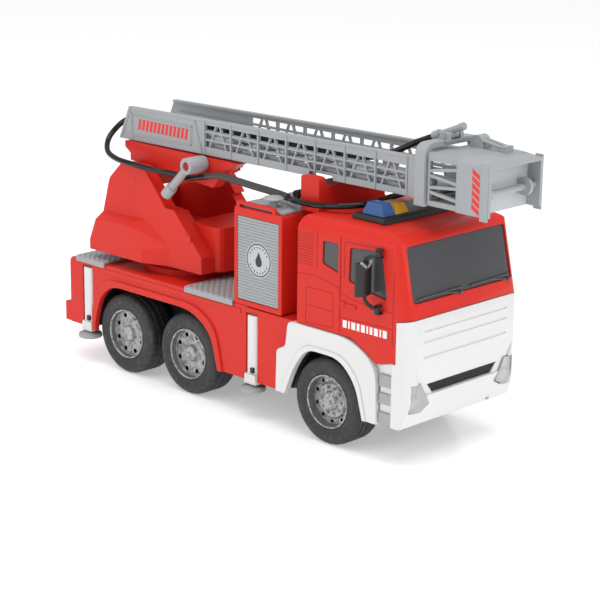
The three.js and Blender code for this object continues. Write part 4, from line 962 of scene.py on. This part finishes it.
def hazard():
    """Wide slanted warning bars down the front edge of the tip box."""
    low, high = TIP_SIDE - 0.4, TIP_SIDE + 0.08
    rear, front, lowest = 165.8, 171.4, 159.4
    count, pitch, lean = 6, 4.1, 3.6
    wide = 0.74 * pitch
    shape = Shape()
    for i in range(count):
        z = lowest + pitch * i
        bar = [(rear, z), (front, z - lean), (front, z - lean + wide), (rear, z + wide)]
        shape.prism(on_side, bar, low, high)
    return shape.mirrored().build("stripes")


finish_piece(hazard(), "red", "ladder_slide", PRINT_RED)


def tip_details():
    """The flanges beside the tip box's open front, and the floor of the neck."""
    flange = [(175, 156), (175, 183.2)]
    shape = Shape().strip(on_side, flange, 5.6, TIP_SIDE - 0.3, TIP_SIDE + 0.4).mirrored()
    neck = [(131.6, -20.6), (154.6, -20.6), (154.6, 20.6), (131.6, 20.6)]
    return shape.prism(on_top, neck, 156.9, 158.2).build("tip_details")


finish_piece(tip_details(), "grey", "ladder_slide")

tip = NODES["ladder_inner"].data
# Painted light: the back wall of the tip box's open front is made pale grey so that the deep recess
# looks lit.
tip.materials.append(PALE_GREY)
for face in tip.polygons:
    if face.normal.x > 0.9 and 168 * MM < face.center.x < 170 * MM:
        face.material_index = len(tip.materials) - 1  # painted light on the back wall of the open front

# ---------------------------------------------------------------- outriggers

for station, post_x in POSTS.items():
    for side, sign in SIDES:
        rear, front = post_x + 0.6, post_x + 3.2
        corners = [(rear, 30.2), (front, 30.2), (front, 33.6), (rear, 33.6)]
        catch = Shape().prism(on_side, corners, 47, 49.7).flipped(sign)
        name = f"{station}_catch_{side}"
        finish_piece(catch.build(name), "black", f"{station}_outrigger_{side}")

# ---------------------------------------------------------------- turret

# The bracket's far wall ends behind the crank, and so does the crank's shaft.
bracket = welded_copy("ladder_bracket", "bracket_body")
far_wall = Shape().prism(on_top, [(-76, -16), (-20, -16), (-20, 30), (-76, 30)], 120, 160)
carve(bracket, far_wall.build("tool"))
bracket.data.set_sharp_from_angle(angle=FLAT_ANGLE)
finish_piece(bracket, "red", "ladder", replaced=["ladder_bracket"])

crank = welded_copy("crank_shaft", "crank_body")
far_end = Shape().prism(on_top, [(-70, 3), (-50, 3), (-50, 30), (-70, 30)], 140, 162)
carve(crank, far_end.build("tool"))
finish_piece(crank, "red", "crank", replaced=["crank_shaft"])

# The wall that joins the turret's cheeks at the rear.
web = Shape().prism(on_side, [
    (-151.5, 90), (-147.6, 106), (-144.8, 116), (-142.4, 116), (-145.2, 106), (-149, 90),
], -28, 28).build("turret_web")
finish_piece(web, "red", "turntable")

pin_caps = Shape().disc(on_side, LIFT_PIN, 2.75, 35.9, 36.55, 24).mirrored().build("pin_caps")
finish_piece(pin_caps, "red", "turntable")

# ---------------------------------------------------------------- pump spring

spring = welded_copy("pump_spring", "spring_body")
finish_piece(spring, "steel", "vehicle", replaced=["pump_spring"])
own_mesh(spring)

# ---------------------------------------------------------------- headlamps


def reflectors():
    """Bright bowls behind the headlamps' lenses."""
    shape = Shape()
    for y, z, radius in ((42.6, 47.6, 3.4), (41.4, 39.8, 3.6)):
        for step in range(4):
            reach = radius * (1 - step / 4)
            shape.disc(on_front, (y, z), reach, 138.2 - 0.9 * step, 139.2 - 0.9 * step, 28)
    return shape.mirrored().build("reflectors")


finish_piece(reflectors(), "steel", "vehicle", MIRROR_SILVER)

# ---------------------------------------------------------------- floor


def floor():
    """A plain pale floor that reaches the horizon."""
    mesh = bpy.data.meshes.new("floor")
    reach = 30  # metres
    corners = [(-reach, -reach, 0), (reach, -reach, 0), (reach, reach, 0), (-reach, reach, 0)]
    mesh.from_pydata(corners, [], [(0, 1, 2, 3)])
    thing = bpy.data.objects.new("floor", mesh)
    bpy.context.scene.collection.objects.link(thing)
    material = bpy.data.materials.new("floor")
    n = Nodes(material)
    n.set(n.shader, "Base Color", n.mix(n.noise(3), (0.97, 0.97, 0.97, 1), (1, 1, 1, 1)))
    n.set(n.shader, "Roughness", n.span(n.noise(8), 0.3, 0.7, 0.16, 0.22))
    n.shader.inputs["Emission Color"].default_value = (1, 1, 1, 1)
    n.shader.inputs["Emission Strength"].default_value = 0.33
    mesh.materials.append(material)


floor()
